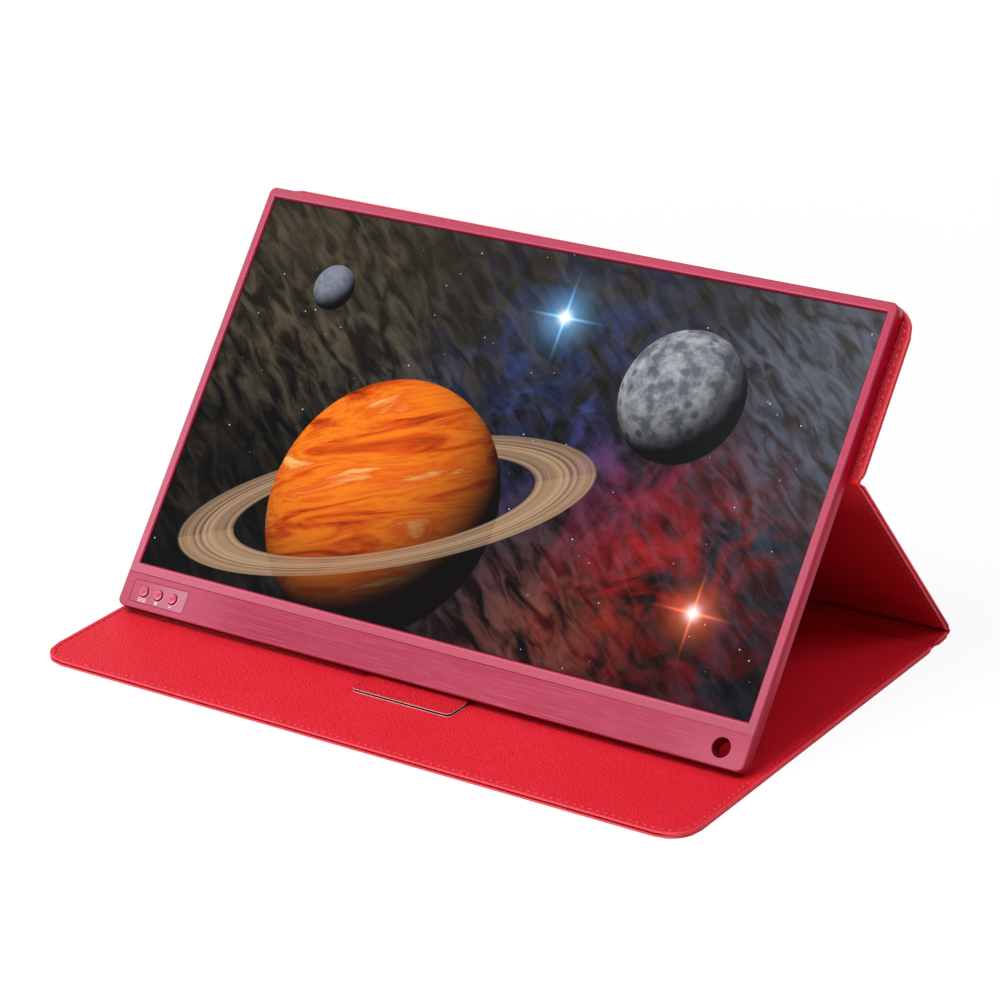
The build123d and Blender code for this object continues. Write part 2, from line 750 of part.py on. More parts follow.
# Stop tab sewn to the base flap, whose back end lies just under the monitor's lower edge.
tab_thickness = 2 * tab_ply + tab_core_thickness
tab_top = panel_thickness + tab_thickness
underside_depth = (monitor_z - tab_top - base_clearance) / lean_sin
tab_back = monitor_y + underside_depth * lean_cos
tab_layers = (
    ("tab_lower_ply", 0, tab_ply, 0),
    ("tab_core", tab_ply, tab_core_thickness, tab_core_inset),
    ("tab_upper_ply", tab_ply + tab_core_thickness, tab_ply, 0),
)
for tab_name, height, thickness, inset in tab_layers:
    with BuildPart() as tab_layer:
        with BuildSketch(Plane.XY.offset(panel_thickness + height)) as tab_outline:
            rectangle_between(
                tab_shift - tab_width / 2 + inset,
                tab_shift + tab_width / 2 - inset,
                tab_back - tab_depth + inset,
                tab_back - inset,
            )
            fillet(tab_outline.vertices().group_by(Axis.Y)[0], tab_corner - inset)
        extrude(amount=thickness)
    tab_layer.part.label = tab_name
    export_step(tab_layer.part, f"parts/{tab_name}.step")

# Spine, prop panel and upper back panel.
spine_end = spine_depth - crease_gap
leather_layer("spine_skin", spine_plane, True, crease_gap, spine_end)
leather_layer("spine_lining", spine_plane, False, crease_gap, spine_end)
stiffener("spine_board", spine_plane, crease_gap, spine_end)

prop_end = prop_depth - crease_gap
leather_layer("prop_skin", prop_plane, True, crease_gap, prop_end)
leather_layer("prop_lining", prop_plane, False, prop_crease_gap, prop_end)
stiffener("prop_board", prop_plane, prop_crease_gap, prop_end)

back_end = body_height + cover_top_margin - crease_height
leather_layer("back_skin", back_plane, True, crease_gap, back_end, -1)
leather_layer("back_lining", back_plane, False, crease_gap, back_end, -1)
stiffener("back_board", back_plane, crease_gap, back_end - edge_groove, -1)

crease("crease_base", base_plane)
crease("crease_spine", prop_plane)
crease("crease_back", back_plane)
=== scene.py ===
"""Looks of a portable monitor in its folding leather cover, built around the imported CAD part."""

import json
import math
import random

import bpy
import numpy as np
from mathutils import Matrix, Vector


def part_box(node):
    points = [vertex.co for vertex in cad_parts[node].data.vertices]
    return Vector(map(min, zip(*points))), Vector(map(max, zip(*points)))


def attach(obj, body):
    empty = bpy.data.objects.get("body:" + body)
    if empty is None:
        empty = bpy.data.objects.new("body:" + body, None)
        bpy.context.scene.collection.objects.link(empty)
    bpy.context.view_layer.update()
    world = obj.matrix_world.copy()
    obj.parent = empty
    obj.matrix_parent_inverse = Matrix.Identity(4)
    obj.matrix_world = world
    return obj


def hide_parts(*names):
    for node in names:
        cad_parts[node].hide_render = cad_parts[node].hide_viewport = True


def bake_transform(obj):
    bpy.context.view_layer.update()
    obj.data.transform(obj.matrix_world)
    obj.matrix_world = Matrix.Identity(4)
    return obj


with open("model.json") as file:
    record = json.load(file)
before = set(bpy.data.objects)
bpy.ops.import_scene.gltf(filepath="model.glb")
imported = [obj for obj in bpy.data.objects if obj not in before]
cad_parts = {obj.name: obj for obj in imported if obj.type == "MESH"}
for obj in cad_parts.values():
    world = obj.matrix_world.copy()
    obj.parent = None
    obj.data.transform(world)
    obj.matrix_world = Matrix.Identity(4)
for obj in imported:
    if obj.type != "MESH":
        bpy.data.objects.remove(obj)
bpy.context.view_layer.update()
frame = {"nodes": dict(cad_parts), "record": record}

# Lengths are in millimetres, and each object's mesh is brought to metres at the end.
MM = 0.001
LEAN = math.radians(39.0)
BASE_DEPTH = 223.2
SPINE_DEPTH = 16.0
PROP_DEPTH = 138.0
BACK_DEPTH = 84.69
HALF_COVER = 181.0
COVER_SHIFT = 1.6  # of the cover to the right, behind the monitor
BOARD_HALF = 0.4  # half the stiffener's thickness
LAYER = 1.1  # thickness of the skin and of the lining
CORNER = 15.0
CREASE_GAP = 1.8
PROP_LINING_GAP = 3.2
STITCH_INSET = 2.9
# Places on the monitor's face are right of its middle and up from its lower edge.
HALF_BODY = 177.0
BODY_DEPTH = 8.0
FRAME_DEPTH = 3.4  # how far back the front part's walls reach, to the shell's
BAR_HEIGHT = 17.15
PICTURE_WIDTH, PICTURE_HEIGHT, PICTURE_LOW = 344.16, 193.59, 22.8
ROD_HOLE = (163.7, 8.6)
PLATE = Vector((-170.9, 3.1)), Vector((-137.9, 14.1))  # lower left and upper right corner
PLATE_CORNER = 1.2
KEYS_ACROSS = (-163.4, -154.6, -145.8)
KEY_PITCH, KEY_UP = 8.8, 8.7
TAB_SHEET = -60.0  # where the tab's leather starts on the flat sheet


# ---- Materials
def srgb(red, green, blue):
    """Linear colour of an 8 bit one."""
    linear = [
        c / 12.92 if c <= 0.04045 else ((c + 0.055) / 1.055) ** 2.4
        for c in (red / 255, green / 255, blue / 255)
    ]
    return (*linear, 1.0)


class Value:
    """A node's output, a number or a vector, which operators reckon with."""

    def __init__(self, nodes, socket):
        self.nodes, self.socket = nodes, socket
        self.vector = socket.type == "VECTOR"

    def reckon(self, operation, *values):
        vectors = [isinstance(v, tuple) or getattr(v, "vector", False) for v in values]
        kind = "VectorMath" if any(vectors) else "Math"
        return self.nodes.node(kind, *values, operation=operation)

    def __add__(self, other):
        return self.reckon("ADD", self, other)

    def __sub__(self, other):
        return self.reckon("SUBTRACT", self, other)

    def __rsub__(self, other):
        return self.reckon("SUBTRACT", other, self)

    def __mul__(self, other):
        return self.reckon("MULTIPLY", self, other)

    def __pow__(self, other):
        return self.reckon("POWER", self, other)

    def __abs__(self):
        return self.reckon("ABSOLUTE", self)


class Nodes:
    """A node tree. What feeds a node is a number, a vector, a Value or a colour, which has
    three 8 bit parts or four linear ones."""

    def __init__(self, tree):
        self.tree = tree

    def feed(self, socket, value):
        if isinstance(value, Value):
            self.tree.links.new(value.socket, socket)
        elif socket.type == "RGBA" and len(value) == 3:
            socket.default_value = srgb(*value)
        else:
            socket.default_value = value

    def node(self, kind, *values, outlet=0, inputs=None, **settings):
        made = self.tree.nodes.new("ShaderNode" + kind)
        for key, value in settings.items():
            setattr(made, key, value)
        for socket, value in zip(made.inputs, values):
            self.feed(socket, value)
        for key, value in (inputs or {}).items():
            self.feed(made.inputs[key], value)
        return Value(self, made.outputs[outlet])

    def math(self, operation, *values):
        return self.node("Math", *values, operation=operation)

    def dot(self, a, b):
        return self.node("VectorMath", a, b, operation="DOT_PRODUCT", outlet=1)

    def length(self, a):
        return self.node("VectorMath", a, operation="LENGTH", outlet=1)

    def parts(self, place):
        """The three numbers of a vector."""
        made = self.tree.nodes.new("ShaderNodeSeparateXYZ")
        self.feed(made.inputs[0], place)
        return [Value(self, outlet) for outlet in made.outputs]

    def step(self, value, low, high, to_low=0.0, to_high=1.0):
        """Smooth step of a value from low to high."""
        limits = (low, high, to_low, to_high)
        return self.node("MapRange", value, *limits, interpolation_type="SMOOTHSTEP")

    def mix(self, share, a, b, blend="MIX"):
        inputs = {"Factor": share, 6: a, 7: b}
        return self.node("Mix", outlet=2, data_type="RGBA", blend_type=blend, inputs=inputs)

    def noise(self, place, scale, detail=2.0, roughness=0.5, distortion=0.0):
        """Noise from 0 to 1, with its features about 1 / scale of the coordinates apart."""
        inputs = {"Vector": place, "Scale": scale, "Detail": detail, "Roughness": roughness}
        return self.node("TexNoise", inputs={**inputs, "Distortion": distortion})

    def cells(self, place, scale, outlet=0):
        return self.node("TexVoronoi", outlet=outlet, inputs={"Vector": place, "Scale": scale})

    def ramp(self, value, stops):
        made = self.tree.nodes.new("ShaderNodeValToRGB")
        self.feed(made.inputs[0], value)
        points = made.color_ramp.elements
        while len(points) < len(stops):
            points.new(0.5)
        for point, (at, colour) in zip(points, stops):
            point.position, point.color = at, srgb(*colour)
        return Value(self, made.outputs[0])

    def mapped(self, place, scale=(1, 1, 1), turn=0.0, shift=(0, 0, 0)):
        """Coordinates turned about z by some degrees and then scaled."""
        rotation = (0, 0, math.radians(turn))
        inputs = {"Vector": place, "Rotation": rotation, "Location": shift}
        return self.node("Mapping", inputs=inputs) * scale

    def object_mm(self):
        """The piece's own coordinates, in millimetres."""
        return self.node("TexCoord", outlet=3) * ((1 / MM,) * 3)

    def face_mm(self):
        """Place on the monitor's face in millimetres, and its parts across, up and out."""
        away = self.object_mm() - tuple(FACE.origin)
        parts = [self.dot(away, tuple(axis)) for axis in (ACROSS, FACE.along, FACE.out)]
        return self.node("CombineXYZ", *parts), *parts

    def sheet_mm(self):
        """Place on the leather as one flat sheet in millimetres, and its parts."""
        place = self.node("Attribute", attribute_name="sheet", outlet=1) * ((1 / MM,) * 3)
        return place, *self.parts(place)

    def bump(self, height, strength, distance):
        """Normal of a height from 0 to 1 that stands for a distance in millimetres."""
        inputs = {"Strength": strength, "Distance": distance * MM, "Height": height}
        return self.node("Bump", inputs=inputs)

    def shown(self):
        """1 for the rays that make the picture, and 0 for those that only light it."""
        kinds = ("Is Camera Ray", "Is Glossy Ray", "Is Transmission Ray")
        camera, glossy, passed = (self.node("LightPath", outlet=kind) for kind in kinds)
        return self.math("MAXIMUM", self.math("MAXIMUM", camera, glossy), passed)


class Shader(Nodes):
    """One material's nodes."""

    def __init__(self, name):
        self.material = bpy.data.materials.new(name)
        self.material.use_nodes = True
        super().__init__(self.material.node_tree)
        self.surface = self.tree.nodes["Principled BSDF"]

    def set(self, colour, roughness, normal=None, gloss=0.5, metallic=0):
        """The material, with these values fed to its surface."""
        values = {"Base Color": colour, "Roughness": roughness, "Metallic": metallic}
        values["Specular IOR Level"] = gloss
        if normal:
            values["Normal"] = normal
        for key, value in values.items():
            self.feed(self.surface.inputs[key], value)
        return self.material


ACROSS = Vector((1, 0, 0))


class Plane:
    """Axes of a flat piece: x across, y along it and z out of it, towards the lining or viewer."""

    def __init__(self, origin, along, sheet_start=0.0, raised=(0.0, 0.0)):
        self.origin = Vector(origin)
        self.along = Vector(along).normalized()
        self.out = ACROSS.cross(self.along)
        self.sheet_start = sheet_start
        self.raised = raised  # of the far edge, at its middle and from there to its left end

    def place(self, points):
        """Local points, as an array of x, y and z in millimetres, in metres in the row frame."""
        points = np.array(points, float)
        middle, left = self.raised
        points[:, 1] *= 1 + (middle - left * points[:, 0] / HALF_COVER) / BACK_DEPTH
        axes = np.array([ACROSS, self.along, self.out])
        return (points @ axes + np.array(self.origin)) * MM

    def sheet(self, points):
        """Places of the same points on the flat sheet of leather, in metres."""
        return (np.asarray(points, float) + (0, self.sheet_start, 0)) * MM


def middle(node):
    low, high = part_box(node)
    return (low + high) / 2 / MM


base_axis, spine_axis, back_axis = (
    middle(node) for node in ("crease_base", "crease_spine", "crease_back")
)
UP_SCREEN = Vector((0, math.sin(LEAN), math.cos(LEAN)))
BASE = Plane(base_axis, (0, 1, 0))
SPINE = Plane(base_axis, spine_axis - base_axis)
PROP = Plane(spine_axis, back_axis - spine_axis, SPINE_DEPTH)
# The cover is stuck on slightly askew, and shows above the left part of the monitor.
BACK = Plane(back_axis, UP_SCREEN, SPINE_DEPTH + PROP_DEPTH, (0.22, 0.7))
FACE = Plane((-COVER_SHIFT, -63.7007, 7.7249), UP_SCREEN)


def leather(name, lit, shade, turn=-51.5, pitch=1.15, relief=1, lining=False):
    """Cross-grain leather: fine slanting ridges that wander and break, on a softly uneven red.
    The lining's grain is calmer towards the rear, on the folded panels and at the sides. Light is
    painted
    on the lining: darker towards the right, lighter and deeper red behind the monitor as painted
    bounce light, and painted shade on the prop."""
    g = Shader(name)
    place, across, along, _ = g.sheet_mm()
    slanted = g.mapped(place + g.noise(place, 0.05, 2) * (2.6, 2.6, 0), turn=turn)
    shove = g.noise(slanted * (0.5, 0.3, 0.8), 1, 3, 0.6)
    phase = g.parts(slanted)[0] * (2 * math.pi / pitch) + shove * 11
    broken = g.noise(slanted * (1.1, 0.34, 0.8), 1, 2, 0.6)
    ridges = g.math("SINE", phase) * g.step(broken, 0.3, 0.62, 0.1, 0.5)
    pores = g.noise(slanted * (1.5, 0.8, 0.8), 1, 2, 0.6)
    texture = ridges + (pores - 0.5) * 0.9
    if lining:
        left = g.step(along, -100, -10, 1, 0.4) * g.step(across, 60, 170, 1, 0.85)
        texture = texture * (left * g.step(across, -170, -80, 0.7, 1))
    grain = texture + 0.5
    fill = g.step(grain, 0, 1)
    if lining:
        # Painted shade: the lining is darker towards the right.
        fill = fill * g.step(across, 70, 175, 1, 0.72)
        # Painted bounce light behind the monitor: lighter and deeper red where the folded cover
        # shades the lining.
        painted_bounce = g.step(along, -176, -136) * g.step(along, 8, -12)
        fill = fill + (1 - fill) * (painted_bounce * 0.6)
        lit = g.mix(painted_bounce * 0.55, lit, (252, 24, 50))
        shade = g.mix(painted_bounce * 0.55, shade, (210, 0, 14))
    colour = g.mix(fill, shade, lit)
    patches = g.noise(place, 0.02, 3)
    colour = g.mix(g.step(patches, 0.3, 0.7, 0, 0.2), colour, shade)
    # Painted highlight along the rim: stronger on the spine, prop and back, weaker along the base
    # flap's right edge, where the skin's is a darker rose.
    rim = g.node("Attribute", attribute_name="rim", outlet=2)
    rim_highlight = (255, 96, 110)
    right_side = g.step(across, 174, 179) * g.step(along, -2, -10)
    if lining:
        # Painted shade on the prop's lining inside the folded cover.
        prop = g.step(along, 18, 36) * g.step(along, 153, 120)
        colour = g.mix(prop * 0.62, colour, (149, 0, 8))
        rim = rim * g.step(right_side, 0, 1, 1, 0.55)
    else:
        rim_highlight = g.mix(right_side, rim_highlight, (196, 46, 74))
    return g.set(
        g.mix(rim * g.step(along, -2, 16, 0.7, 0.9), colour, rim_highlight),
        roughness=g.step(grain, 0, 1, 0.58, 0.44),
        normal=g.bump(grain, 0.6 * relief, 0.1),
        gloss=0.12,
    )


def cut_edge(name, colour, glue):
    """Cut edge of the tab's plies, pale outside and dark towards the core between them."""
    g = Shader(name)
    fibres = g.noise(g.mapped(g.sheet_mm()[0], (3, 3, 9)), 1, 3)
    low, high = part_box("tab_lower_ply")[0].z / MM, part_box("tab_upper_ply")[1].z / MM
    away = abs(g.parts(g.object_mm())[2] - (low + high) / 2)
    colour = g.mix(g.step(fibres, 0.3, 0.7, 0, 0.15), colour, (214, 160, 168))
    inner = (high - low) / 2 - 0.38
    colour = g.mix(g.step(away, inner, inner + 0.06), glue, colour)
    return g.set(colour, roughness=0.8, normal=g.bump(fibres, 0.3, 0.05), gloss=0.1)


def thread(name, lit, shade, hole):
    """Twisted thread, with painted shade where it dives into its holes."""
    g = Shader(name)
    run = g.node("Attribute", attribute_name="run", outlet=2)
    place, across, along, _ = g.sheet_mm()
    twist = g.node("TexWave", inputs={"Vector": g.mapped(place, turn=33), "Scale": 0.9})
    colour = g.mix(twist, lit, shade)
    # The left edge's stitches sit in their groove's shadow.
    colour = g.mix(g.step(across, -170, -176, 0, 0.8), colour, (92, 2, 14))
    # Painted light as on the lining: behind the monitor the thread takes the lining's painted
    # bounce colour, and inside the folded cover it takes painted shade.
    behind = g.step(along, -168, -148) * g.step(along, 10, -10)
    colour = g.mix(behind * 0.8, colour, (222, 26, 42))
    inside = g.step(along, -10, 10) * g.step(along, 156, 140)
    colour = g.mix(inside * 0.75, colour, (150, 10, 26))
    # Painted shade at the thread's ends, weaker behind the monitor.
    holes = g.step(run, 0.5, 0.86) * g.step(behind, 0, 1, 1, 0.45)
    colour = g.mix(holes, colour, hole)
    return g.set(colour, roughness=0.55, normal=g.bump(twist, 0.4, 0.06), gloss=0.25)


def shade_wall_mask(g, place, up, hole_share=1):
    """Mask of the monitor's underside and of the rod hole's wall, which take painted shade."""
    away = g.length((place - (*ROD_HOLE, 0)) * (1, 1, 0))
    return g.math("MAXIMUM", g.step(up, 0.5, 0.1), g.step(away, 5.3, 5) * hole_share)


def bar_seam(g, colour, across, up):
    """The colour with the seam above the bar, which is fainter at the right."""
    near = g.step(abs(up - BAR_HEIGHT), 0.12, 0.32, 0.7, 0)
    return g.mix(near * g.step(across, 60, 150, 1, 0.2), colour, (110, 16, 40))


def satin_metal(name):
    """Anodised metal with a fine sparkle, with light and shade painted in: the face lighter
    towards the lower left, the front part's walls deep crimson as painted shade, and on the mauve
    shell a painted reflection of the red leather where the cover stands next to it."""
    g = Shader(name)
    place, across, up, out = g.face_mm()
    depth = out * -1
    sparkle = g.noise(place, 1.9, 3, 0.65)
    cloud = g.noise(place, 0.05, 2)
    left, right = g.step(across, -HALF_BODY, -20), g.step(across, 0, HALF_BODY)
    # Painted light: the face is lighter towards the lower left and darker towards the upper right.
    lower = g.mix(right, g.mix(left, (198, 108, 129), (180, 86, 105)), (165, 84, 100))
    upper = g.mix(right, g.mix(left, (184, 84, 103), (168, 66, 86)), (152, 54, 73))
    body = g.mix(g.step(up, 20, 210), lower, upper)
    body = g.mix(g.step(sparkle, 0.35, 0.65, 0, 0.3), body, (150, 58, 78))
    body = g.mix(g.step(sparkle, 0.5, 0.3, 0, 0.3), body, (218, 126, 146))
    body = g.mix(g.step(cloud, 0.3, 0.7, 0, 0.12), body, (172, 66, 88))
    # A bevel round the picture painted as a shaded line, darker towards the top, with a faint
    # painted highlight outside it; both fade at the right side
    half_wide, half_high = PICTURE_WIDTH / 2, PICTURE_HEIGHT / 2
    past_side = abs(across) - (half_wide + 0.3)
    past_end = abs(up - (PICTURE_LOW + half_high)) - (half_high + 0.3)
    reach = g.math("MAXIMUM", past_side, past_end)
    plain_side = g.step(across, 171, 173, 1, 0.15)
    lip_highlight = plain_side * g.step(abs(reach - 1.2), 0.1, 0.5, 0.16, 0)
    body = g.mix(lip_highlight, body, (236, 140, 164))
    bevel = g.mix(g.step(up, 60, 150), (160, 24, 58), (104, 12, 40))
    body = g.mix(plain_side * g.step(reach, 0.85, 0.45, 0, 0.8), body, bevel)
    # Walls, and behind the front part's the shell's. The front part's walls are painted deep
    # crimson as shade.
    wall = g.step(depth, 0.25, 0.8)
    shell_depth = g.step(depth, FRAME_DEPTH - 0.02, FRAME_DEPTH + 0.06)
    outer_side = g.step(abs(across), HALF_BODY - 0.8, HALF_BODY - 0.4)
    outer_back = g.step(depth, BODY_DEPTH - 0.4, BODY_DEPTH - 0.2)
    shell = shell_depth * g.step(up, 2, 4) * g.math("MAXIMUM", outer_side, outer_back)
    # Painted shade: the shell is darker towards the bottom.
    mauve = g.mix(g.step(up, 30, 52), (150, 10, 30), (180, 64, 86))
    # Painted reflection of the red leather where the cover stands next to the shell, and a painted
    # highlight at its top corner.
    painted_leather_reflection = g.step(up, 130, 140) * g.step(depth, BODY_DEPTH - 0.6, BODY_DEPTH - 1)
    mauve = g.mix(painted_leather_reflection, mauve, (190, 10, 42))
    mauve = g.mix(painted_leather_reflection * g.step(up, 216.5, 218.5), mauve, (206, 112, 130))
    side = g.mix(shell, (184, 18, 52), mauve)
    # Painted shade, darkest on the shell's underside and in the rod hole.
    underside = g.mix(shell_depth, (168, 8, 42), (80, 0, 16))
    side = g.mix(shade_wall_mask(g, place, up, 0.8), side, underside)
    side = g.mix(g.step(sparkle, 0.35, 0.65, 0, 0.25), side, (140, 20, 48))
    return g.set(
        bar_seam(g, g.mix(wall, body, side), across, up),
        metallic=0.3,
        roughness=g.step(wall, 0, 1, 0.42, 0.34),
        normal=g.bump(sparkle, 0.12, 0.03),
        gloss=0.02,
    )


def plate_groove(g, place):
    """Mask of a fine groove along the key plate's rounded outline."""
    middle = (PLATE[0] + PLATE[1]) / 2
    half = (PLATE[1] - PLATE[0]) / 2 - Vector((PLATE_CORNER, PLATE_CORNER))
    away = (abs(place - (*middle, 0)) - (*half, 0)) * (1, 1, 0)
    reach = g.length(g.node("VectorMath", away, (0, 0, 0), operation="MAXIMUM"))
    return g.step(abs(reach - PLATE_CORNER), 0.12, 0.34, 0.8, 0)


def brushed_metal(name):
    """Anodised metal brushed across the bar, with a few longer and deeper strokes."""
    g = Shader(name)
    place, across, up, out = g.face_mm()
    strokes = g.noise(g.mapped(place, (0.022, 5, 1)), 1, 3, 0.7)
    longer = g.noise(g.mapped(place, (0.008, 1.6, 1), shift=(7, 3, 0)), 1, 3, 0.6)
    blend = strokes * 0.55 + longer * 0.45
    colour = g.mix(g.step(blend, 0.38, 0.62), (150, 50, 72), (171, 71, 92))
    # Painted glints on some strokes, stronger towards the right.
    glints = g.noise(g.mapped(place, (0.03, 6.5, 1), shift=(3, 9, 0)), 1, 3, 0.75)
    glints = g.step(glints, 0.54, 0.7) * g.step(across, -20, 140, 0.55, 0.85)
    colour = g.mix(glints, colour, (214, 124, 146))
    # Painted light: lighter towards the left end and the lower right corner, darker towards the
    # right.
    colour = g.mix(g.step(across, -90, -150, 0, 0.5), colour, (196, 100, 121))
    colour = g.mix(g.step(across, 40, 170, 0, 0.4), colour, (150, 68, 86))
    corner = g.step(across, 130, 168) * g.step(up, 16, 5, 0.35, 1)
    colour = g.mix(corner * 0.75, colour, (174, 88, 105))
    # Painted shade: the walls deep crimson, darker still on the underside and in the rod hole.
    wall = g.mix(shade_wall_mask(g, place, up), (176, 16, 46), (156, 6, 38))
    colour = g.mix(g.step(out * -1, 0.25, 0.8), colour, wall)
    colour = bar_seam(g, colour, across, up)
    return g.set(
        g.mix(plate_groove(g, place), colour, (112, 20, 44)),
        metallic=0.3,
        roughness=g.step(blend, 0.3, 0.7, 0.46, 0.36),
        normal=g.bump(blend, 0.22, 0.03),
        gloss=0.02,
    )


def key_reach(g, across, up):
    """Place on the nearest key, right and up from its middle, and the distance from it."""
    across = g.math("WRAP", across - KEYS_ACROSS[0], KEY_PITCH / 2, -KEY_PITCH / 2)
    rise = up - KEY_UP
    return across, rise, g.math("SQRT", across * across + rise * rise)


def key_plate_metal(name):
    """Finely blasted plate that catches more light towards its right end."""
    g = Shader(name)
    place, face_across, up, _ = g.face_mm()
    blast = g.noise(place, 4.5, 3, 0.7)
    # Painted light: the plate is lighter towards its right end.
    colour = g.mix(g.step(face_across, -170, -138), (178, 84, 105), (190, 124, 142))
    colour = g.mix(g.step(blast, 0.35, 0.65, 0, 0.3), colour, (166, 78, 99))
    across, rise, reach = key_reach(g, face_across, up)
    # Painted highlight on the right and lower edge of each key's hole.
    lip_highlight = g.step(abs(reach - 3.15), 0.1, 0.35, 0.5, 0) * g.step(across - rise, -1.5, 2.5)
    lip_highlight = lip_highlight * g.step(abs(face_across - KEYS_ACROSS[1]), 12.8, 12.4)
    return g.set(
        g.mix(lip_highlight, colour, (240, 180, 194)),
        metallic=0.3,
        roughness=g.step(blast, 0.2, 0.8, 0.52, 0.42),
        normal=g.bump(blast, 0.25, 0.02),
        gloss=0.15,
    )


def key_metal(name):
    """Key caps with a slightly dished top, and light painted in: darker in the middle, a painted
    highlight towards the lower right, and painted shade on the wall and on a ring along the right
    and lower side.
    """
    g = Shader(name)
    place, face_across, up, out = g.face_mm()
    across, rise, reach = key_reach(g, face_across, up)
    grit = g.noise(place, 2.6, 3, 0.6)
    colour = g.mix(g.step(grit, 0.3, 0.7), (204, 98, 121), (192, 80, 103))
    # Painted shade in the dish's middle.
    colour = g.mix(g.step(reach, 0.2, 1.8, 0.4, 0), colour, (176, 52, 78))
    # Painted highlight towards the lower right.
    lit = g.step(across * 0.55 - rise * 0.8, 0.3, 1.9, 0, 0.65) * g.step(reach, 2.5, 2)
    colour = g.mix(lit, colour, (244, 160, 180))
    # Painted shade on a ring along the right and lower side, and on the wall.
    turned = g.step(across * 0.8 - rise * 0.6, -0.6, 1) * g.step(reach, 2.15, 2.4)
    colour = g.mix(turned, colour, (128, 2, 30))
    colour = g.mix(g.step(out, 0.66, 0.5), colour, (128, 2, 30))
    return g.set(
        colour,
        metallic=0.3,
        roughness=g.step(grit, 0.2, 0.8, 0.4, 0.3),
        normal=g.bump((reach * 0.4) ** 2, 0.6, 0.5),
        gloss=0.1,
    )


def plain(
    name, colour, other, roughness, metallic=0, scale=1, relief=0.02, stretch=(1, 1, 1),
    gloss=0.5,
):
    """Moulded, plated or coated surface with a fine uneven tone."""
    g = Shader(name)
    tone = g.noise(g.mapped(g.object_mm(), stretch), scale, 3, 0.6)
    return g.set(
        g.mix(g.step(tone, 0.3, 0.7), colour, other),
        roughness=g.step(tone, 0.2, 0.8, roughness + 0.05, roughness - 0.05),
        metallic=metallic,
        normal=g.bump(tone, 0.2, relief),
        gloss=gloss,
    )


def circuit_board(name):
    """Green board with its copper tracks showing through the varnish."""
    g = Shader(name)
    place = g.face_mm()[0]
    tones = {"Color1": (8, 66, 40), "Color2": (12, 82, 48), "Mortar": (34, 118, 66)}
    size = {"Vector": place * (0.3, 0.3, 0.3), "Mortar Size": 0.05}
    tracks = g.node("TexBrick", inputs={**tones, **size})
    grain = g.noise(place, 2, 2)
    colour = g.mix(g.step(grain, 0.3, 0.7, 0, 0.3), tracks, (6, 46, 30))
    return g.set(colour, roughness=0.4, normal=g.bump(grain, 0.2, 0.02))


def ball(g, place, centre, radius):
    """Disc's mask, and the shading of a ball in it that is lit from the upper left."""
    flat = (place - (*centre, 0)) * (1 / radius, 1 / radius, 0)
    reach = g.length(flat)
    depth = g.math("SQRT", g.math("MAXIMUM", 1 - reach * reach, 0))
    normal = flat + g.node("CombineXYZ", 0, 0, depth)
    mask = g.step(reach, 1, 1 - 0.5 / radius)
    light = g.step(g.dot(normal, (-0.50, 0.58, 0.64)), -0.12, 0.95)
    return mask, light, normal


def glow(g, place, centre, reach, strength=1):
    """Soft round light that fades over its reach."""
    away = g.length(place - (*centre, 0)) * (1 / reach)
    return g.math("EXPONENT", away**2 * -1) * strength


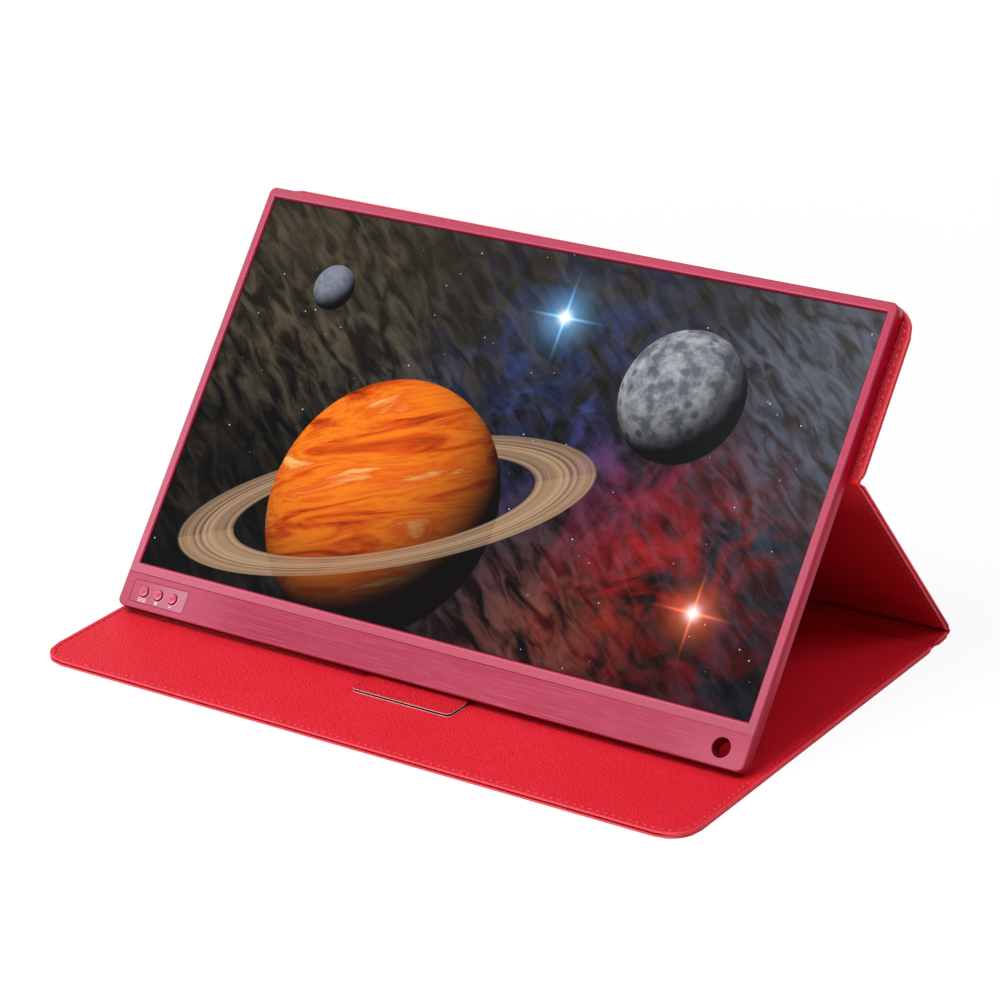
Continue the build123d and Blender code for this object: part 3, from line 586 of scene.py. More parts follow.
def screen_picture(name):
    """A made-up view of space: a ringed orange planet, a pale moon and two coloured clouds."""
    g = Shader(name)
    half_wide, half_high = PICTURE_WIDTH / 2, PICTURE_HEIGHT / 2
    place = (g.face_mm()[0] - (0, PICTURE_LOW + half_high, 0)) * (1, 1, 0)
    across, up, _ = g.parts(place)

    # Dust drifting from the upper left to the lower right
    drift = g.noise(g.mapped(place, (0.05, 0.16, 1), 38), 1, 4, 0.52, 0.7)
    haze = g.noise(place, 0.011, 5, 0.6, 0.8)
    grit = g.noise(place, 0.9, 4, 0.8)
    dust = g.step(drift, 0.36, 0.72) * g.step(haze, 0.36, 0.62, 0.25, 1)
    dust = dust * g.step(grit, 0.2, 0.75, 0.75, 1.15) * g.step(up, -110, 60, 0.35, 1)
    warm = g.step(across - up * 0.5, -150, 60)
    sky = g.mix(dust, (4, 4, 5), g.mix(warm, (92, 82, 64), (52, 60, 78)))
    pale = g.mix(drift, (26, 23, 18), (86, 77, 60))
    sky = g.mix(g.step(up, -20, 90, 0, 0.45), sky, pale)

    def lighten(base, share, colour):
        return g.mix(share, base, colour, "ADD")

    wisps = g.step(g.noise(place, 0.03, 6, 0.62, 1.2), 0.38, 0.72)
    sky = lighten(sky, glow(g, place, (104, -38), 52, 0.9) * wisps, (168, 22, 10))
    sky = lighten(sky, glow(g, place, (28, 36), 50, 0.8) * wisps, (44, 78, 150))
    mist = glow(g, place, (150, 66), 54, 0.6) * g.step(drift, 0.3, 0.7)
    sky = lighten(sky, mist, (96, 108, 128))
    embers = glow(g, place, (52, -80), 40, 0.8) * g.step(drift, 0.35, 0.7)
    sky = lighten(sky, embers, (120, 60, 30))
    rare = g.parts(g.cells(place, 0.16, outlet=1))[0]
    stars = g.step(g.cells(place, 0.16), 0.075, 0.03) * g.step(rare, 0.45, 0.9)
    sky = lighten(sky, stars, (226, 228, 240))

    # Ringed planet
    centre, radius, tilt = (-50, -42), 64, -20
    mask, light, normal = ball(g, place, centre, radius)
    turned = g.mapped(normal, turn=tilt)
    bands = g.noise(turned * (0.9, 6, 0.9), 1, 5, 0.6, 0.7)
    stops = [(0.30, (122, 30, 4)), (0.42, (226, 84, 10)), (0.52, (255, 134, 26))]
    stops += [(0.60, (240, 98, 14)), (0.72, (255, 196, 108))]
    planet = g.mix(light, (6, 2, 2), g.ramp(bands, stops))
    away = g.mapped(place - (*centre, 0), turn=tilt)
    ring_reach = g.length(away * (1 / radius, 3.6 / radius, 0))
    grooves = g.noise(g.node("CombineXYZ", ring_reach * 9, 0, 0), 1, 4, 0.7)
    ring = g.step(ring_reach, 1.27, 1.3) * g.step(ring_reach, 1.78, 1.74)
    ring = ring * g.step(grooves, 0.34, 0.6, 0.15, 0.95)
    in_front = g.step(g.parts(away)[1], 0.4, -0.4)
    ring_colour = g.mix(grooves, (64, 40, 30), (232, 190, 150))
    picture = g.mix(mask, g.mix(ring, sky, ring_colour), planet)
    picture = g.mix(ring * in_front, picture, ring_colour)

    # Pale moon with craters, and a small dark one before it
    mask, light, normal = ball(g, place, (86, 40), 33)
    rough = g.noise(normal, 2.6, 7, 0.66)
    craters = g.step(g.cells(normal, 4.2), 0.18, 0.42)
    ground = g.mix(g.step(rough, 0.34, 0.66), (74, 78, 88), (240, 242, 246))
    ground = g.mix(craters * 0.45, (104, 108, 118), ground)
    picture = g.mix(mask, picture, g.mix(light, (3, 4, 8), ground))
    mask, light, normal = ball(g, place, (-120, 58), 12)
    ground = g.mix(g.noise(normal, 3.2, 6, 0.7), (30, 34, 46), (176, 184, 200))
    picture = g.mix(mask, picture, g.mix(light, (4, 5, 9), ground))

    # Two bright stars with short rays
    for star, colour in (((12, 66), (120, 196, 255)), ((128, -56), (255, 120, 80))):
        for scale in ((0.05, 0.9, 1), (0.9, 0.05, 1)):
            reach = g.length((place - (*star, 0)) * scale)
            picture = lighten(picture, g.math("EXPONENT", reach**2 * -3), colour)
        picture = lighten(picture, glow(g, place, star, 3.4), (255, 255, 255))
        picture = lighten(picture, glow(g, place, star, 11, 0.55), colour)

    inside = g.step(abs(across), half_wide + 0.05, half_wide - 0.05)
    inside = inside * g.step(abs(up), half_high + 0.05, half_high - 0.05)
    g.feed(g.surface.inputs["Emission Color"], g.mix(inside, (3, 3, 4), picture))
    g.feed(g.surface.inputs["Emission Strength"], 1)
    return g.set((4, 4, 5), roughness=0.16, gloss=0.06, normal=g.bump(grit, 0.02, 0.005))


lining_leather = leather("lining_leather", (247, 56, 72), (208, 18, 34), lining=True)
outer_leather = leather("outer_leather", (240, 48, 64), (198, 14, 30))
# Behind the monitor the grain runs nearly along the side edges, and it is coarser.
back_leather = leather("back_leather", (248, 64, 80), (150, 0, 20), 8.9, 0.95, 1.6)
tab_leather = leather("tab_leather", (236, 50, 66), (192, 10, 26))
red_thread = thread("thread", (252, 92, 106), (214, 48, 64), (84, 0, 12))
tab_thread = thread("tab_thread", (150, 8, 26), (104, 2, 16), (44, 0, 6))
pale_cut = cut_edge("tab_cut_edge", (255, 244, 246), (16, 10, 12))

# Two tones, roughness, metallic, scale of the tone, relief, stretch and gloss
PLAIN_MATERIALS = {
    "display_glass": ((14, 15, 18), (9, 9, 12), 0.15, 0, 0.3, 0.002),
    "optical_film": ((240, 242, 244), (228, 232, 236), 0.45, 0, 0.2),
    "led_strip": ((250, 240, 205), (215, 196, 140), 0.4, 0, 0.9),
    "bare_metal": ((196, 198, 202), (172, 174, 180), 0.38, 0.9, 1, 0.01, (0.05, 2, 2)),
    "chips": ((30, 30, 33), (20, 20, 23), 0.5, 0, 2),
    "flat_cable": ((214, 150, 62), (188, 122, 44), 0.35, 0, 1, 0.01),
    "socket_metal": ((196, 196, 200), (160, 160, 166), 0.28, 1, 1.6),
    "screw_metal": ((104, 100, 102), (78, 74, 77), 0.32, 1, 2.4),
    "speaker_plastic": ((34, 34, 36), (22, 22, 24), 0.6, 0, 1.8),
    "magnet_metal": ((150, 150, 154), (118, 118, 124), 0.3, 1, 0.8),
    "foam_tape": ((46, 46, 48), (30, 30, 32), 0.85, 0, 2.2, 0.08),
    "tab_filler": ((22, 14, 16), (10, 6, 8), 0.8, 0, 2.6, 0.06, (1, 1, 1), 0.03),
    "stiffener_board": ((118, 6, 20), (84, 2, 12), 0.8, 0, 1.2),
}
CAD_MATERIALS = {
    "rose_metal": satin_metal("rose_metal"),
    "brushed_bar": brushed_metal("brushed_bar"),
    "screen_front": screen_picture("screen_picture"),
    "circuit_board": circuit_board("circuit_board"),
    "key_plate": key_plate_metal("key_plate"),
    "keys": key_metal("keys"),
    "outer_leather": outer_leather,
    "lining_leather": lining_leather,
    **{name: plain(name, *look) for name, look in PLAIN_MATERIALS.items()},
}
for part in frame["record"]["subparts"]:
    cad_node = frame["nodes"][part["node"]]
    cad_node.data.materials.clear()
    cad_node.data.materials.append(CAD_MATERIALS[part["material_slot"]])


# ---- Mesh helpers
def add_object(name, data):
    made = bpy.data.objects.new(name, data)
    bpy.context.scene.collection.objects.link(made)
    return made


def new_piece(name, points, faces, sheet=None, sharp=50):
    """A mesh object from points in metres, its leather coordinates in the sheet attribute."""
    mesh = bpy.data.meshes.new(name)
    mesh.from_pydata(np.asarray(points).tolist(), [], [list(map(int, f)) for f in faces])
    if sheet is not None:
        made = mesh.attributes.new("sheet", "FLOAT_VECTOR", "POINT")
        made.data.foreach_set("vector", np.asarray(sheet, np.float32).ravel())
    mesh.polygons.foreach_set("use_smooth", np.ones(len(mesh.polygons), bool))
    mesh.set_sharp_from_angle(angle=math.radians(sharp))
    return add_object(name, mesh)


def give(piece, attribute, values):
    """One number for each point of the piece, which its material reads."""
    made = piece.data.attributes.new(attribute, "FLOAT", "POINT")
    made.data.foreach_set("value", values.astype(np.float32))


def dress(piece, materials, nodes=()):
    for material in materials:
        piece.data.materials.append(material)
    if nodes:
        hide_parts(*nodes)


def slab_faces(rows, columns):
    """Faces of a slab given by two grids of points, the upper one first, and its wall's count."""
    upper = np.arange(rows * columns).reshape(rows, columns)
    lower = upper + rows * columns

    def quads(grid):
        corners = [grid[:-1, :-1], grid[:-1, 1:], grid[1:, 1:], grid[1:, :-1]]
        return np.stack(corners, -1).reshape(-1, 4)

    ring = np.concatenate([upper[0, :-1], upper[:-1, -1], upper[-1, :0:-1], upper[:0:-1, 0]])
    after = np.roll(ring, -1)
    walls = np.stack([ring, ring + rows * columns, after + rows * columns, after], -1)
    return np.concatenate([quads(upper), quads(lower)[:, ::-1], walls]), len(walls)


def spread(start, end, cell):
    """Evenly spaced values between start and end, both left out."""
    count = max(2, round((end - start) / cell) + 1)
    return np.linspace(start, end, count)[1:-1]


class Edge:
    """How a layer's thickness runs inwards from its free edges."""

    def __init__(self, offsets, upper, lower, corner, thickness):
        self.offsets, self.upper, self.lower = map(np.array, (offsets, upper, lower))
        self.corner, self.thickness = corner, thickness


def turned_edge(thickness, roll, corner, inset):
    """Leather turned over a rounded edge, with a shallow valley for the stitches."""
    turns = np.linspace(0, math.pi / 2, 6)
    bulge = np.sin(turns) * 0.46 * thickness
    offsets = [*(roll * (1 - np.cos(turns))), 1.2, inset - 0.9, inset - 0.5, inset - 0.22]
    offsets += [inset, inset + 0.22, inset + 0.5, inset + 1.4, 7, corner]
    upper = [*(thickness / 2 + bulge), 1, 1, 0.94, 0.83, 0.78, 0.83, 0.92, 0.965, 0.945, 0.94]
    upper[6:] = [share * thickness for share in upper[6:]]
    lower = [*(thickness / 2 - bulge), *([0] * 10)]
    return Edge(offsets, upper, lower, corner, thickness)


END_FALL = 3.4  # length over which a layer settles to its height at a crease


def layer_grid(half, low, high, edge, free_low, free_high, pinch=0.9, cell=12):
    """Grid over a panel: x, y, the distance to a free edge and the distance to a crease."""
    crease_steps = np.array([0, 0.25, 0.6, 1, 1.5, 2.1, 2.8, 3.6, 5])
    low_steps = edge.offsets if free_low else crease_steps
    high_steps = edge.offsets if free_high else crease_steps
    if high - low < low_steps[-1] + high_steps[-1]:
        share = 0.48 * (high - low) / max(low_steps[-1], high_steps[-1])
        low_steps, high_steps = low_steps * share, high_steps * share
    side = half - edge.offsets
    xs = np.concatenate([-side, spread(-side[-1], side[-1], cell), side[::-1]])
    inner = spread(low + low_steps[-1], high - high_steps[-1], cell)
    x, y = np.meshgrid(xs, np.concatenate([low + low_steps, inner, high - high_steps[::-1]]))
    far = np.full_like(y, 1e3)
    to_side = half - np.abs(x)
    to_low = y - low if free_low else far
    to_high = high - y if free_high else far
    to_end = np.minimum(to_low, to_high)
    to_crease = np.minimum(far if free_low else y - low, far if free_high else high - y)
    to_edge = np.minimum(to_side, to_end)
    # Rings of a square corner become rings of a rounded one.
    corner = (to_side < edge.corner) & (to_end < edge.corner)
    a, b = edge.corner - to_side[corner], edge.corner - to_end[corner]
    reach = np.maximum(a, b)
    with np.errstate(divide="ignore", invalid="ignore"):
        turn = np.where(a >= b, math.pi / 4 * b / a, math.pi / 2 - math.pi / 4 * a / b)
    turn = np.nan_to_num(turn)
    to_edge[corner] = edge.corner - reach
    x[corner] = np.sign(x[corner]) * (half - edge.corner + reach * np.cos(turn))
    shift = edge.corner - reach * np.sin(turn)
    nearer_low = to_low[corner] < to_high[corner]
    y[corner] = np.where(nearer_low, low + shift, high - shift)
    # The edge draws in a little where it runs into a crease.
    draw = np.clip(1 - to_crease / 4, 0, 1) ** 2 * np.clip(1 - to_side / edge.corner, 0, 1)
    return x - np.sign(x) * pinch * draw, y, to_edge, to_crease


def leather_layer(
    name, plane, side, low, high, body, nodes, edge, materials, slot, free_low, free_high,
    low_end, high_end, half=HALF_COVER, base=BOARD_HALF, low_fall=END_FALL,
):
    """Skin or lining of one panel, standing on its inner face at a height of base. Its walls
    take the second material, if there is one."""
    x, y, to_edge, to_crease = layer_grid(half, low, high, edge, free_low, free_high)
    ends = np.where(y - low < high - y, low_end, high_end) / edge.thickness
    fall = np.where(y - low < high - y, low_fall, END_FALL)
    settle = 1 - (1 - np.clip(to_crease / fall, 0, 1)) ** 2.5
    keep = ends + (1 - ends) * settle
    upper = np.interp(to_edge, edge.offsets, edge.upper)
    lower = np.interp(to_edge, edge.offsets, edge.lower)
    if plane is BASE:
        # Along the right edge the two layers are glued tight to each other.
        glued = np.clip((x - 168) / 8, 0, 1) * np.clip((1.2 - to_edge) / 0.6, 0, 1)
        lower = lower - glued * (lower + base)
    s = y + plane.sheet_start
    wave = np.sin(x / 37 + s / 61 + 1.3) * np.sin(s / 29 - x / 83 + 0.7)
    wave = wave + 0.5 * np.sin(x / 17 - s / 23)
    upper = upper + 0.022 * edge.thickness * wave * np.clip(to_edge / 12, 0, 1)
    heights = (side * (base + share * keep) for share in (upper, lower))
    points = np.concatenate([np.stack([x, y, z], -1).reshape(-1, 3) for z in heights])
    faces, walls = slab_faces(*x.shape)
    if side < 0:
        faces = faces[:, ::-1]
    piece = new_piece(name, plane.place(points), faces, plane.sheet(points))
    # The distance to the rim, where the painted highlight lies.
    if edge is panel_edge:
        give(piece, "rim", np.tile(np.clip(1 - to_edge.ravel() / 1.2, 0, 1), 2))
    dress(piece, materials, nodes)
    if len(materials) > 1:
        indices = np.zeros(len(faces), np.int32)
        indices[-walls:] = 1
        piece.data.polygons.foreach_set("material_index", indices)
    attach(piece, body)


# ---- Leather panels
panel_edge = turned_edge(LAYER, 0.6, CORNER, STITCH_INSET)
VALLEY, WRAP = 0.1, 1  # height of a layer where it meets a crease that closes or opens over it
# name, plane, body, low and high end, which are free, and the layers' heights there
PANELS = (
    ("base", BASE, "base", -BASE_DEPTH, -CREASE_GAP, (True, False),
     (VALLEY, VALLEY + 0.3), (VALLEY, VALLEY)),
    ("spine", SPINE, "spine", CREASE_GAP, SPINE_DEPTH - CREASE_GAP, (False, False),
     (VALLEY + 0.3, WRAP), (VALLEY, VALLEY)),
    ("prop", PROP, "prop", CREASE_GAP, PROP_DEPTH - CREASE_GAP, (False, False),
     (WRAP, VALLEY), (VALLEY, WRAP)),
    ("back", BACK, "screen", CREASE_GAP, BACK_DEPTH, (False, True),
     (VALLEY, VALLEY), (WRAP, VALLEY)),
)
for panel, plane, body, low, high, free, skin_ends, lining_ends in PANELS:
    inner = back_leather if panel == "back" else lining_leather
    inner_low = PROP_LINING_GAP if panel == "prop" else low
    for layer, side, start, ends, material, slot in (
        ("skin", -1, low, skin_ends, outer_leather, "outer_leather"),
        ("lining", 1, inner_low, lining_ends, inner, "lining_leather"),
    ):
        leather_layer(
            f"{panel}_{layer}_leather", plane, side, start, high, body, [f"{panel}_{layer}"],
            panel_edge, [material], slot, *free, *ends,
            low_fall={"spine": 7, "prop": 1.6}.get(panel, END_FALL),
        )


# ---- Creases
def crease_piece(
    name, axis, first, turn, outline, bodies, reach, material, slot, sheet_at, nodes=()
):
    """Leather that bends over a crease's axis. The outline's points are u, v and how much of
    the turn they have made: u runs along the first panel and v out of it."""
    half = HALF_COVER - 0.9
    offsets = np.array([0, 0.2, 0.6, 1.4, 4])
    inner = spread(offsets[-1] - half, half - offsets[-1], 15)
    xs = np.concatenate([-half + offsets, inner, (half - offsets)[::-1]])
    scale = np.interp(half - np.abs(xs), offsets, [0.55, 0.88, 1, 1, 1])
    section, run = [], []
    for u, v, share in outline:
        cos, sin = math.cos(first + share * turn), math.sin(first + share * turn)
        section.append((u * cos - v * sin, u * sin + v * cos))
        run.append(sheet_at + u + (share - 0.5) * abs(v))
    section, run = np.array(section), np.array(run)
    core = section.mean(0)
    count = len(outline)
    points, sheet = [], []
    for x, s in zip(xs, scale):
        yz = core + (section - core) * s + (axis.y, axis.z)
        points.append(np.column_stack([np.full(count, x), yz]) * MM)
        sheet.append(np.column_stack([np.full(count, x), run, np.zeros(count)]) * MM)
    last = (len(xs) - 1) * count
    faces = [
        (i + k, i + (k + 1) % count, i + count + (k + 1) % count, i + count + k)
        for i in range(0, last, count)
        for k in range(count)
    ]
    faces.append(tuple(range(count))[::-1])
    faces.append(tuple(range(last, last + count)))
    piece = new_piece(name, np.concatenate(points), faces, np.concatenate(sheet))
    # Faces look outwards.
    if np.cross(section, np.roll(section, -1, 0)).sum() < 0:
        piece.data.flip_normals()
    dress(piece, [material], nodes)
    along = first + turn / 2
    towards = Vector((0, math.cos(along), math.sin(along))) * reach
    (axis - towards) * MM
    (axis + towards) * MM
    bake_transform(piece)


UNDER = 0.8  # how far a crease's leather reaches under the panels' layers


def wrap_outline(side, before, after, radius=1.40):
    """Leather drawn round the outside of a fold."""
    ends = ((UNDER, 1), (0.1, 1.25), (-0.4, radius))
    return [
        *((-before - past, side * v, 0) for past, v in ends),
        *((0, side * radius, k / 12) for k in range(13)),
        *((after + past, side * v, 1) for past, v in ends[::-1]),
        (after + UNDER, side * 0.3, 1),
        *((0, side * 0.3, k / 4) for k in (4, 3, 2, 1, 0)),
        (-before - UNDER, side * 0.3, 0),
    ]


def valley_outline(side, before, after, floor=0.06, rise=0.5, under=-0.3):
    """Leather pressed into the inside of a fold."""
    slope = [(share, side * (floor + (rise - floor) * share)) for share in (0.25, 0.5, 0.8, 1)]
    return [
        (-before - UNDER, side * 0.44, 0),
        *((-share * (before + 0.1), v, 0) for share, v in slope[::-1]),
        (0, side * floor, 0.5),
        *((share * (after + 0.1), v, 1) for share, v in slope),
        (after + UNDER, side * 0.44, 1),
        (after + UNDER, side * under, 1),
        (0, side * under, 0.5),
        (-before - UNDER, side * under, 0),
    ]


def direction(plane):
    return math.atan2(plane.along.z, plane.along.y)


gaps = CREASE_GAP, CREASE_GAP
# name, axis, planes and bodies, then the outline and the blend's reach, outside and inside
CREASES = (
    ("base", base_axis, BASE, SPINE, ("base", "spine"),
     valley_outline(-1, *gaps, 0.75, 0.8, 0.1), 1.8, valley_outline(1, *gaps, 0.2), 1.8),
    ("spine", spine_axis, SPINE, PROP, ("spine", "prop"),
     wrap_outline(-1, *gaps), 1.5, valley_outline(1, CREASE_GAP, PROP_LINING_GAP), 0.22),
    ("back", back_axis, PROP, BACK, ("prop", "screen"),
     valley_outline(-1, *gaps), 0.5, wrap_outline(1, *gaps), 1.2),
)
for crease, axis, before, after, bodies, outer, outer_reach, inner, inner_reach in CREASES:
    fold = (axis, direction(before), direction(after) - direction(before))
    crease_piece(
        f"crease_{crease}_outer", *fold, outer, bodies, outer_reach,
        outer_leather, "outer_leather", after.sheet_start, [f"crease_{crease}"],
    )
    crease_piece(
        f"crease_{crease}_inner", *fold, inner, bodies, inner_reach,
        lining_leather, "lining_leather", after.sheet_start,
    )


# ---- Stop tab
tab_box = np.array(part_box("tab_upper_ply")) / MM
(tab_left, tab_front, tab_floor), (tab_right, tab_back, _) = tab_box
TAB_PLY = 0.5
tab_offsets = [0, 0.06, 0.2, 1, 1.8, 2.1, 2.4, 2.6, 2.8, 3]
tab_heights = [0.44, 0.48, 0.5, 0.5, 0.49, 0.44, 0.42, 0.44, 0.48, 0.5]
tab_edge = Edge(tab_offsets, tab_heights, [0] * 10, 3, TAB_PLY)
tab_middle = (tab_left + tab_right) / 2
tab_half = (tab_right - tab_left) / 2
for ply, side in (("upper", 1), ("lower", -1)):
    inner_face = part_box(f"tab_{ply}_ply")[0 if side > 0 else 1].z / MM
    leather_layer(
        f"tab_{ply}_leather", Plane((tab_middle, 0, inner_face), (0, 1, 0), TAB_SHEET), side,
        tab_front, tab_back, "base", [f"tab_{ply}_ply"], tab_edge, [tab_leather, pale_cut],
        "lining_leather", True, False, TAB_PLY, TAB_PLY, tab_half, 0,
    )


# ---- Stitches
def rounded_path(points, corner, step=0.8):
    """Path through points given as (x, y), its inner points rounded off."""
    points = [np.array(p, float) for p in points]
    path = [points[0]]
    for before, at, after in zip(points, points[1:], points[2:]):
        into, out = at - before, after - at
        into, out = into / np.linalg.norm(into), out / np.linalg.norm(out)
        centre = at - into * corner + out * corner
        count = max(2, round(corner * math.pi / 2 / step))
        for k in range(count + 1):
            turn = math.pi / 2 * k / count
            path.append(centre - out * corner * math.cos(turn) + into * corner * math.sin(turn))
    path.append(points[-1])
    return np.array(path)


def along_path(path, pitch):
    """Middle and direction of each stitch on a path."""
    lengths = np.concatenate([[0], np.cumsum(np.linalg.norm(np.diff(path, axis=0), axis=1))])
    count = max(1, int(lengths[-1] / pitch))
    for k in range(count):
        at = lengths[-1] / 2 + (k - (count - 1) / 2) * pitch
        before, after = (
            np.array([np.interp(at + shift, lengths, path[:, axis]) for axis in (0, 1)])
            for shift in (-0.8, 0.8)
        )
        yield (before + after) / 2, (after - before) / np.linalg.norm(after - before)


STITCH_PITCH, STITCH_LENGTH, THREAD_RADIUS, SIDES = 4, 2.9, 0.42, 7
STATIONS = ((-0.86, 0.62), (-0.55, 0.95), (0, 1), (0.55, 0.95), (0.86, 0.62))


def stitch_template():
    """One stitch, as along, across and up, and how near each point is to a hole."""
    points, run = [(-STITCH_LENGTH / 2, 0, -0.22)], [1]
    for share, size in STATIONS:
        radius, lift = THREAD_RADIUS * size, 0.1 - 0.26 * share**4
        for k in range(SIDES):
            turn = 2 * math.pi * k / SIDES
            across, up = radius * math.cos(turn), 0.62 * radius * math.sin(turn)
            points.append((share * STITCH_LENGTH / 2, across, lift + up))
            run.append(abs(share))
    points.append((STITCH_LENGTH / 2, 0, -0.22))
    run.append(1)
    faces = []
    for k in range(SIDES):
        after = (k + 1) % SIDES
        faces.append((0, 1 + after, 1 + k))
        for ring in range(len(STATIONS) - 1):
            start = 1 + ring * SIDES
            faces.append((start + k, start + after, start + SIDES + after, start + SIDES + k))
        last = 1 + (len(STATIONS) - 1) * SIDES
        faces.append((last + k, last + after, len(points) - 1))
    return np.array(points), np.array(run), faces


TEMPLATE, TEMPLATE_RUN, TEMPLATE_FACES = stitch_template()
chance = random.Random(7)


def stitches(name, body, rows, pitch=STITCH_PITCH, length=1, material=red_thread, bulk=1):
    """Stitches of one body. A row is its plane, side, height above the plane and path."""
    points, sheet, run, faces = [], [], [], []
    for plane, side, height, path in rows:
        for at, (step_x, step_y) in along_path(path, pitch):
            skew = math.radians(chance.uniform(-5, 5))
            cos, sin = math.cos(skew), math.sin(skew)
            ahead = np.array([step_x * cos - step_y * sin, step_x * sin + step_y * cos])
            aside = np.array([-ahead[1], ahead[0]])
            stretch = length * chance.uniform(0.94, 1.05)
            flat = at + np.outer(TEMPLATE[:, 0] * stretch, ahead)
            flat = flat + np.outer(TEMPLATE[:, 1] * bulk, aside)
            local = np.column_stack([flat, side * (height + TEMPLATE[:, 2])])
            start = sum(map(len, points))
            faces += [tuple(start + i for i in face[::side]) for face in TEMPLATE_FACES]
            points.append(plane.place(local))
            sheet.append(plane.sheet(local))
            run.append(TEMPLATE_RUN)
    piece = new_piece(name, np.concatenate(points), faces, np.concatenate(sheet), 80)
    give(piece, "run", np.concatenate(run))
    dress(piece, [material])
    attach(piece, body)


groove = BOARD_HALF + 0.8 * LAYER
edge_x = HALF_COVER - STITCH_INSET
front_y = STITCH_INSET - BASE_DEPTH
top_y = BACK_DEPTH - STITCH_INSET
stitch_corner = CORNER - STITCH_INSET


def three_sides(x, near, far, corner):
    """Path along one side, the end at far and the other side."""
    return rounded_path([(-x, near), (-x, far), (x, far), (x, near)], corner)


def two_sides(low, high):
    return [np.array([(x, low), (x, high)]) for x in (-edge_x, edge_x)]


for name, body, plane, paths in (
    ("base", "base", BASE, [three_sides(edge_x, -5.5, front_y, stitch_corner)]),
    ("spine", "spine", SPINE, two_sides(4.5, SPINE_DEPTH - 4.5)),
    ("prop", "prop", PROP, two_sides(6.5, PROP_DEPTH - 5)),
    ("back", "screen", BACK, [three_sides(-edge_x, 6, top_y, stitch_corner)]),
):
    rows = [(plane, side, groove, path) for side in (-1, 1) for path in paths]
    stitches(f"{name}_stitches", body, rows)

TAB_INSET = 1.8
tab_path = three_sides(tab_half - TAB_INSET, tab_back - 1, tab_front + TAB_INSET, TAB_INSET)
tab_top = Plane((tab_middle, 0, tab_floor), (0, 1, 0), TAB_SHEET)
stitches("tab_stitches", "base", [(tab_top, 1, 0.42, tab_path)], 2.9, 0.8, tab_thread, 1.6)


# ---- Marks under the keys
def marks(name, bars, height=0.04):
    """Printed bars on the key plate, given as x, y, width and height on the monitor's face."""
    points, faces = [], []
    for x, y, width, tall in bars:
        start = len(points)
        for z, grow in ((0, 0), (height * 0.7, 0), (height, -0.03)):
            for dx, dy in ((-1, -1), (1, -1), (1, 1), (-1, 1)):
                points.append((x + dx * (width / 2 + grow), y + dy * (tall / 2 + grow), z))
        for ring in (start, start + 4):
            for k in range(4):
                after = ring + (k + 1) % 4
                faces.append((ring + k, after, after + 4, ring + 4 + k))
        faces.append(tuple(start + k for k in (8, 9, 10, 11)))
        faces.append(tuple(start + k for k in (3, 2, 1, 0)))
    piece = new_piece(name, FACE.place(points), faces, sharp=30)
    ink = plain("mark_print", (248, 240, 243), (236, 222, 228), 0.5, 0, 2)
    dress(piece, [ink])
    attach(piece, "screen")


MARK_UP = 4.65
menu, plus, minus = KEYS_ACROSS
marks("menu_mark", [(menu, MARK_UP + dy, 5, 0.28) for dy in (-0.8, 0, 0.8)])
marks("plus_mark", [(plus, MARK_UP, 2.1, 0.5), (plus, MARK_UP, 0.5, 2.1)])
marks("minus_mark", [(minus, MARK_UP, 1.7, 0.42)])


# ---- Floor, light and camera
def add_floor():
    """White floor with a faint shadow, which lights the part like a pale table."""
    mesh = bpy.data.meshes.new("floor")
    reach, low = 6, -0.0002
    corners = [(x * reach, y * reach, low) for x, y in ((-1, -1), (1, -1), (1, 1), (-1, 1))]
    mesh.from_pydata(corners, [], [(0, 1, 2, 3)])
    g = Shader("floor")
    place = g.object_mm()
    tone = g.step(g.noise(place, 0.01, 2), 0.2, 0.8)
    table = g.mix(tone, (0.86, 0.86, 0.86, 1), (0.9, 0.9, 0.9, 1))
    mesh.materials.append(g.set(table, roughness=0.9, gloss=0))
    glare = g.step(g.length(place), 400, 1500, 0.9, 1)
    white = g.node("Emission", (1, 1, 1, 1), glare)
    bright = g.node("AddShader", g.node("BsdfDiffuse", (0.13, 0.13, 0.13, 1)), white)
    both = g.node("MixShader", g.shown(), Value(g, g.surface.outputs[0]), bright)
    g.feed(g.tree.nodes["Material Output"].inputs["Surface"], both)
    floor = add_object("floor", mesh)


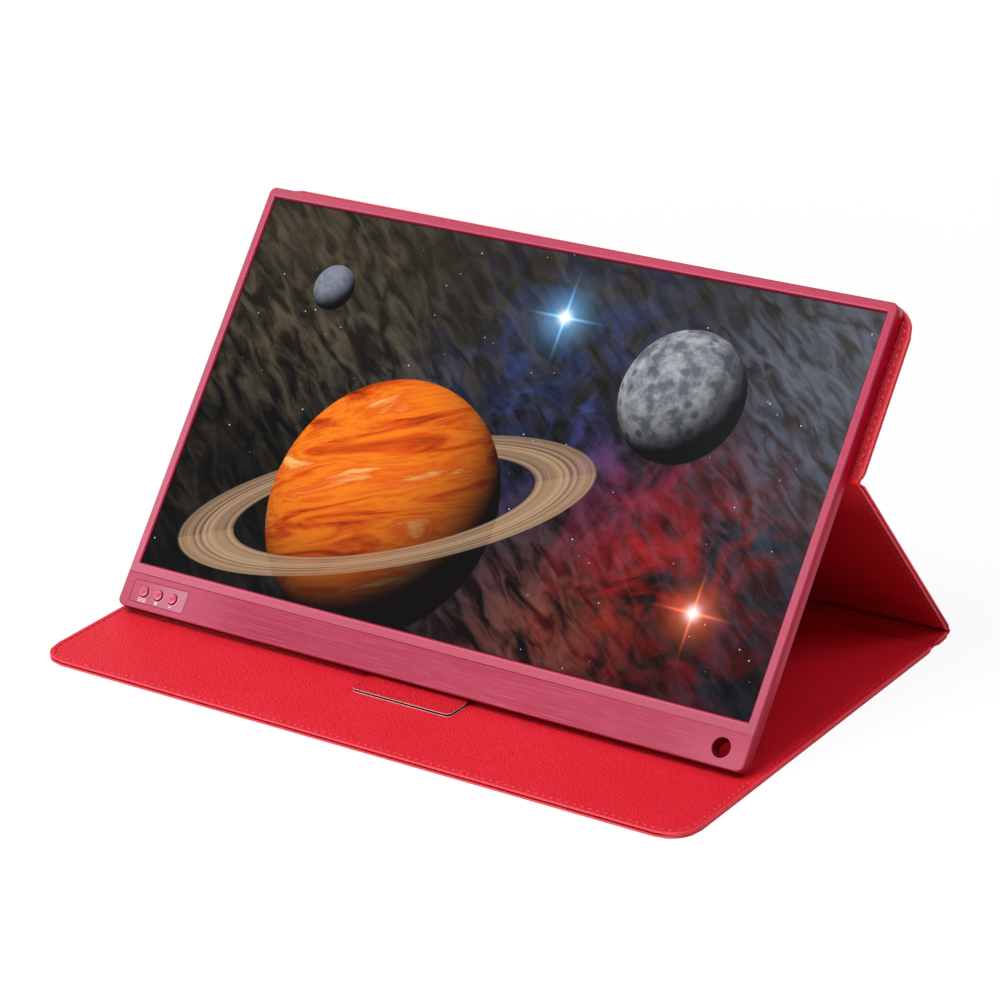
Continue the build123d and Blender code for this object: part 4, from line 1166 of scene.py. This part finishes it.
def add_world(strength):
    """Even white light of this strength from a background that shows as pure white."""
    world = bpy.data.worlds.new("studio")
    bpy.context.scene.world = world
    world.use_nodes = True
    g = Nodes(world.node_tree)
    background = world.node_tree.nodes["Background"]
    background.inputs["Color"].default_value = (1, 1, 1, 1)
    seen = g.node("MapRange", g.shown(), 0, 1, strength, 1)
    g.feed(background.inputs["Strength"], seen)


def add_softbox(name, place, size, power):
    lamp = bpy.data.lights.new(name, "AREA")
    lamp.shape = "RECTANGLE"
    lamp.size, lamp.size_y = size
    lamp.energy = power
    box = add_object(name, lamp)
    box.location = place
    aim = Vector((0, 0, 0.05)) - Vector(place)
    box.rotation_euler = aim.to_track_quat("-Z", "Y").to_euler()


def add_camera():
    """Camera worked out from the photograph's vanishing lines, for a square picture."""
    focal_pixels, picture, sensor = 3595.05, 1000, 36
    yaw, pitch, roll = (math.radians(angle) for angle in (35.41, 22.89, -2.22))
    level_ahead = Vector((-math.sin(yaw), math.cos(yaw), 0))
    ahead = level_ahead * math.cos(pitch) - Vector((0, 0, math.sin(pitch)))
    level = Vector((math.cos(yaw), math.sin(yaw), 0))
    upright = level.cross(ahead)
    right = level * math.cos(roll) + upright * math.sin(roll)
    up = upright * math.cos(roll) - level * math.sin(roll)
    data = bpy.data.cameras.new("camera")
    data.sensor_width = sensor
    data.lens = focal_pixels / picture * sensor
    data.clip_start, data.clip_end = 0.05, 100
    camera = add_object("camera", data)
    turn = Matrix((right, up, -ahead)).transposed()
    camera.matrix_world = Matrix.Translation((0.89987, -1.25542, 0.72816)) @ turn.to_4x4()
    bpy.context.scene.camera = camera


add_floor()
add_world(0.11)
add_softbox("key", (-0.27, -0.93, 1.9), (1.1, 1.1), 31.0)
add_softbox("right", (0.75, -0.7, 1.75), (0.6, 0.6), 2.2)
add_softbox("front", (-0.85, -1.36, 0.6), (0.7, 0.6), 7.0)
add_softbox("side", (1.5, 0.45, 1.3), (0.9, 0.7), 7.5)
add_camera()
bpy.context.scene.view_settings.view_transform = "Standard"
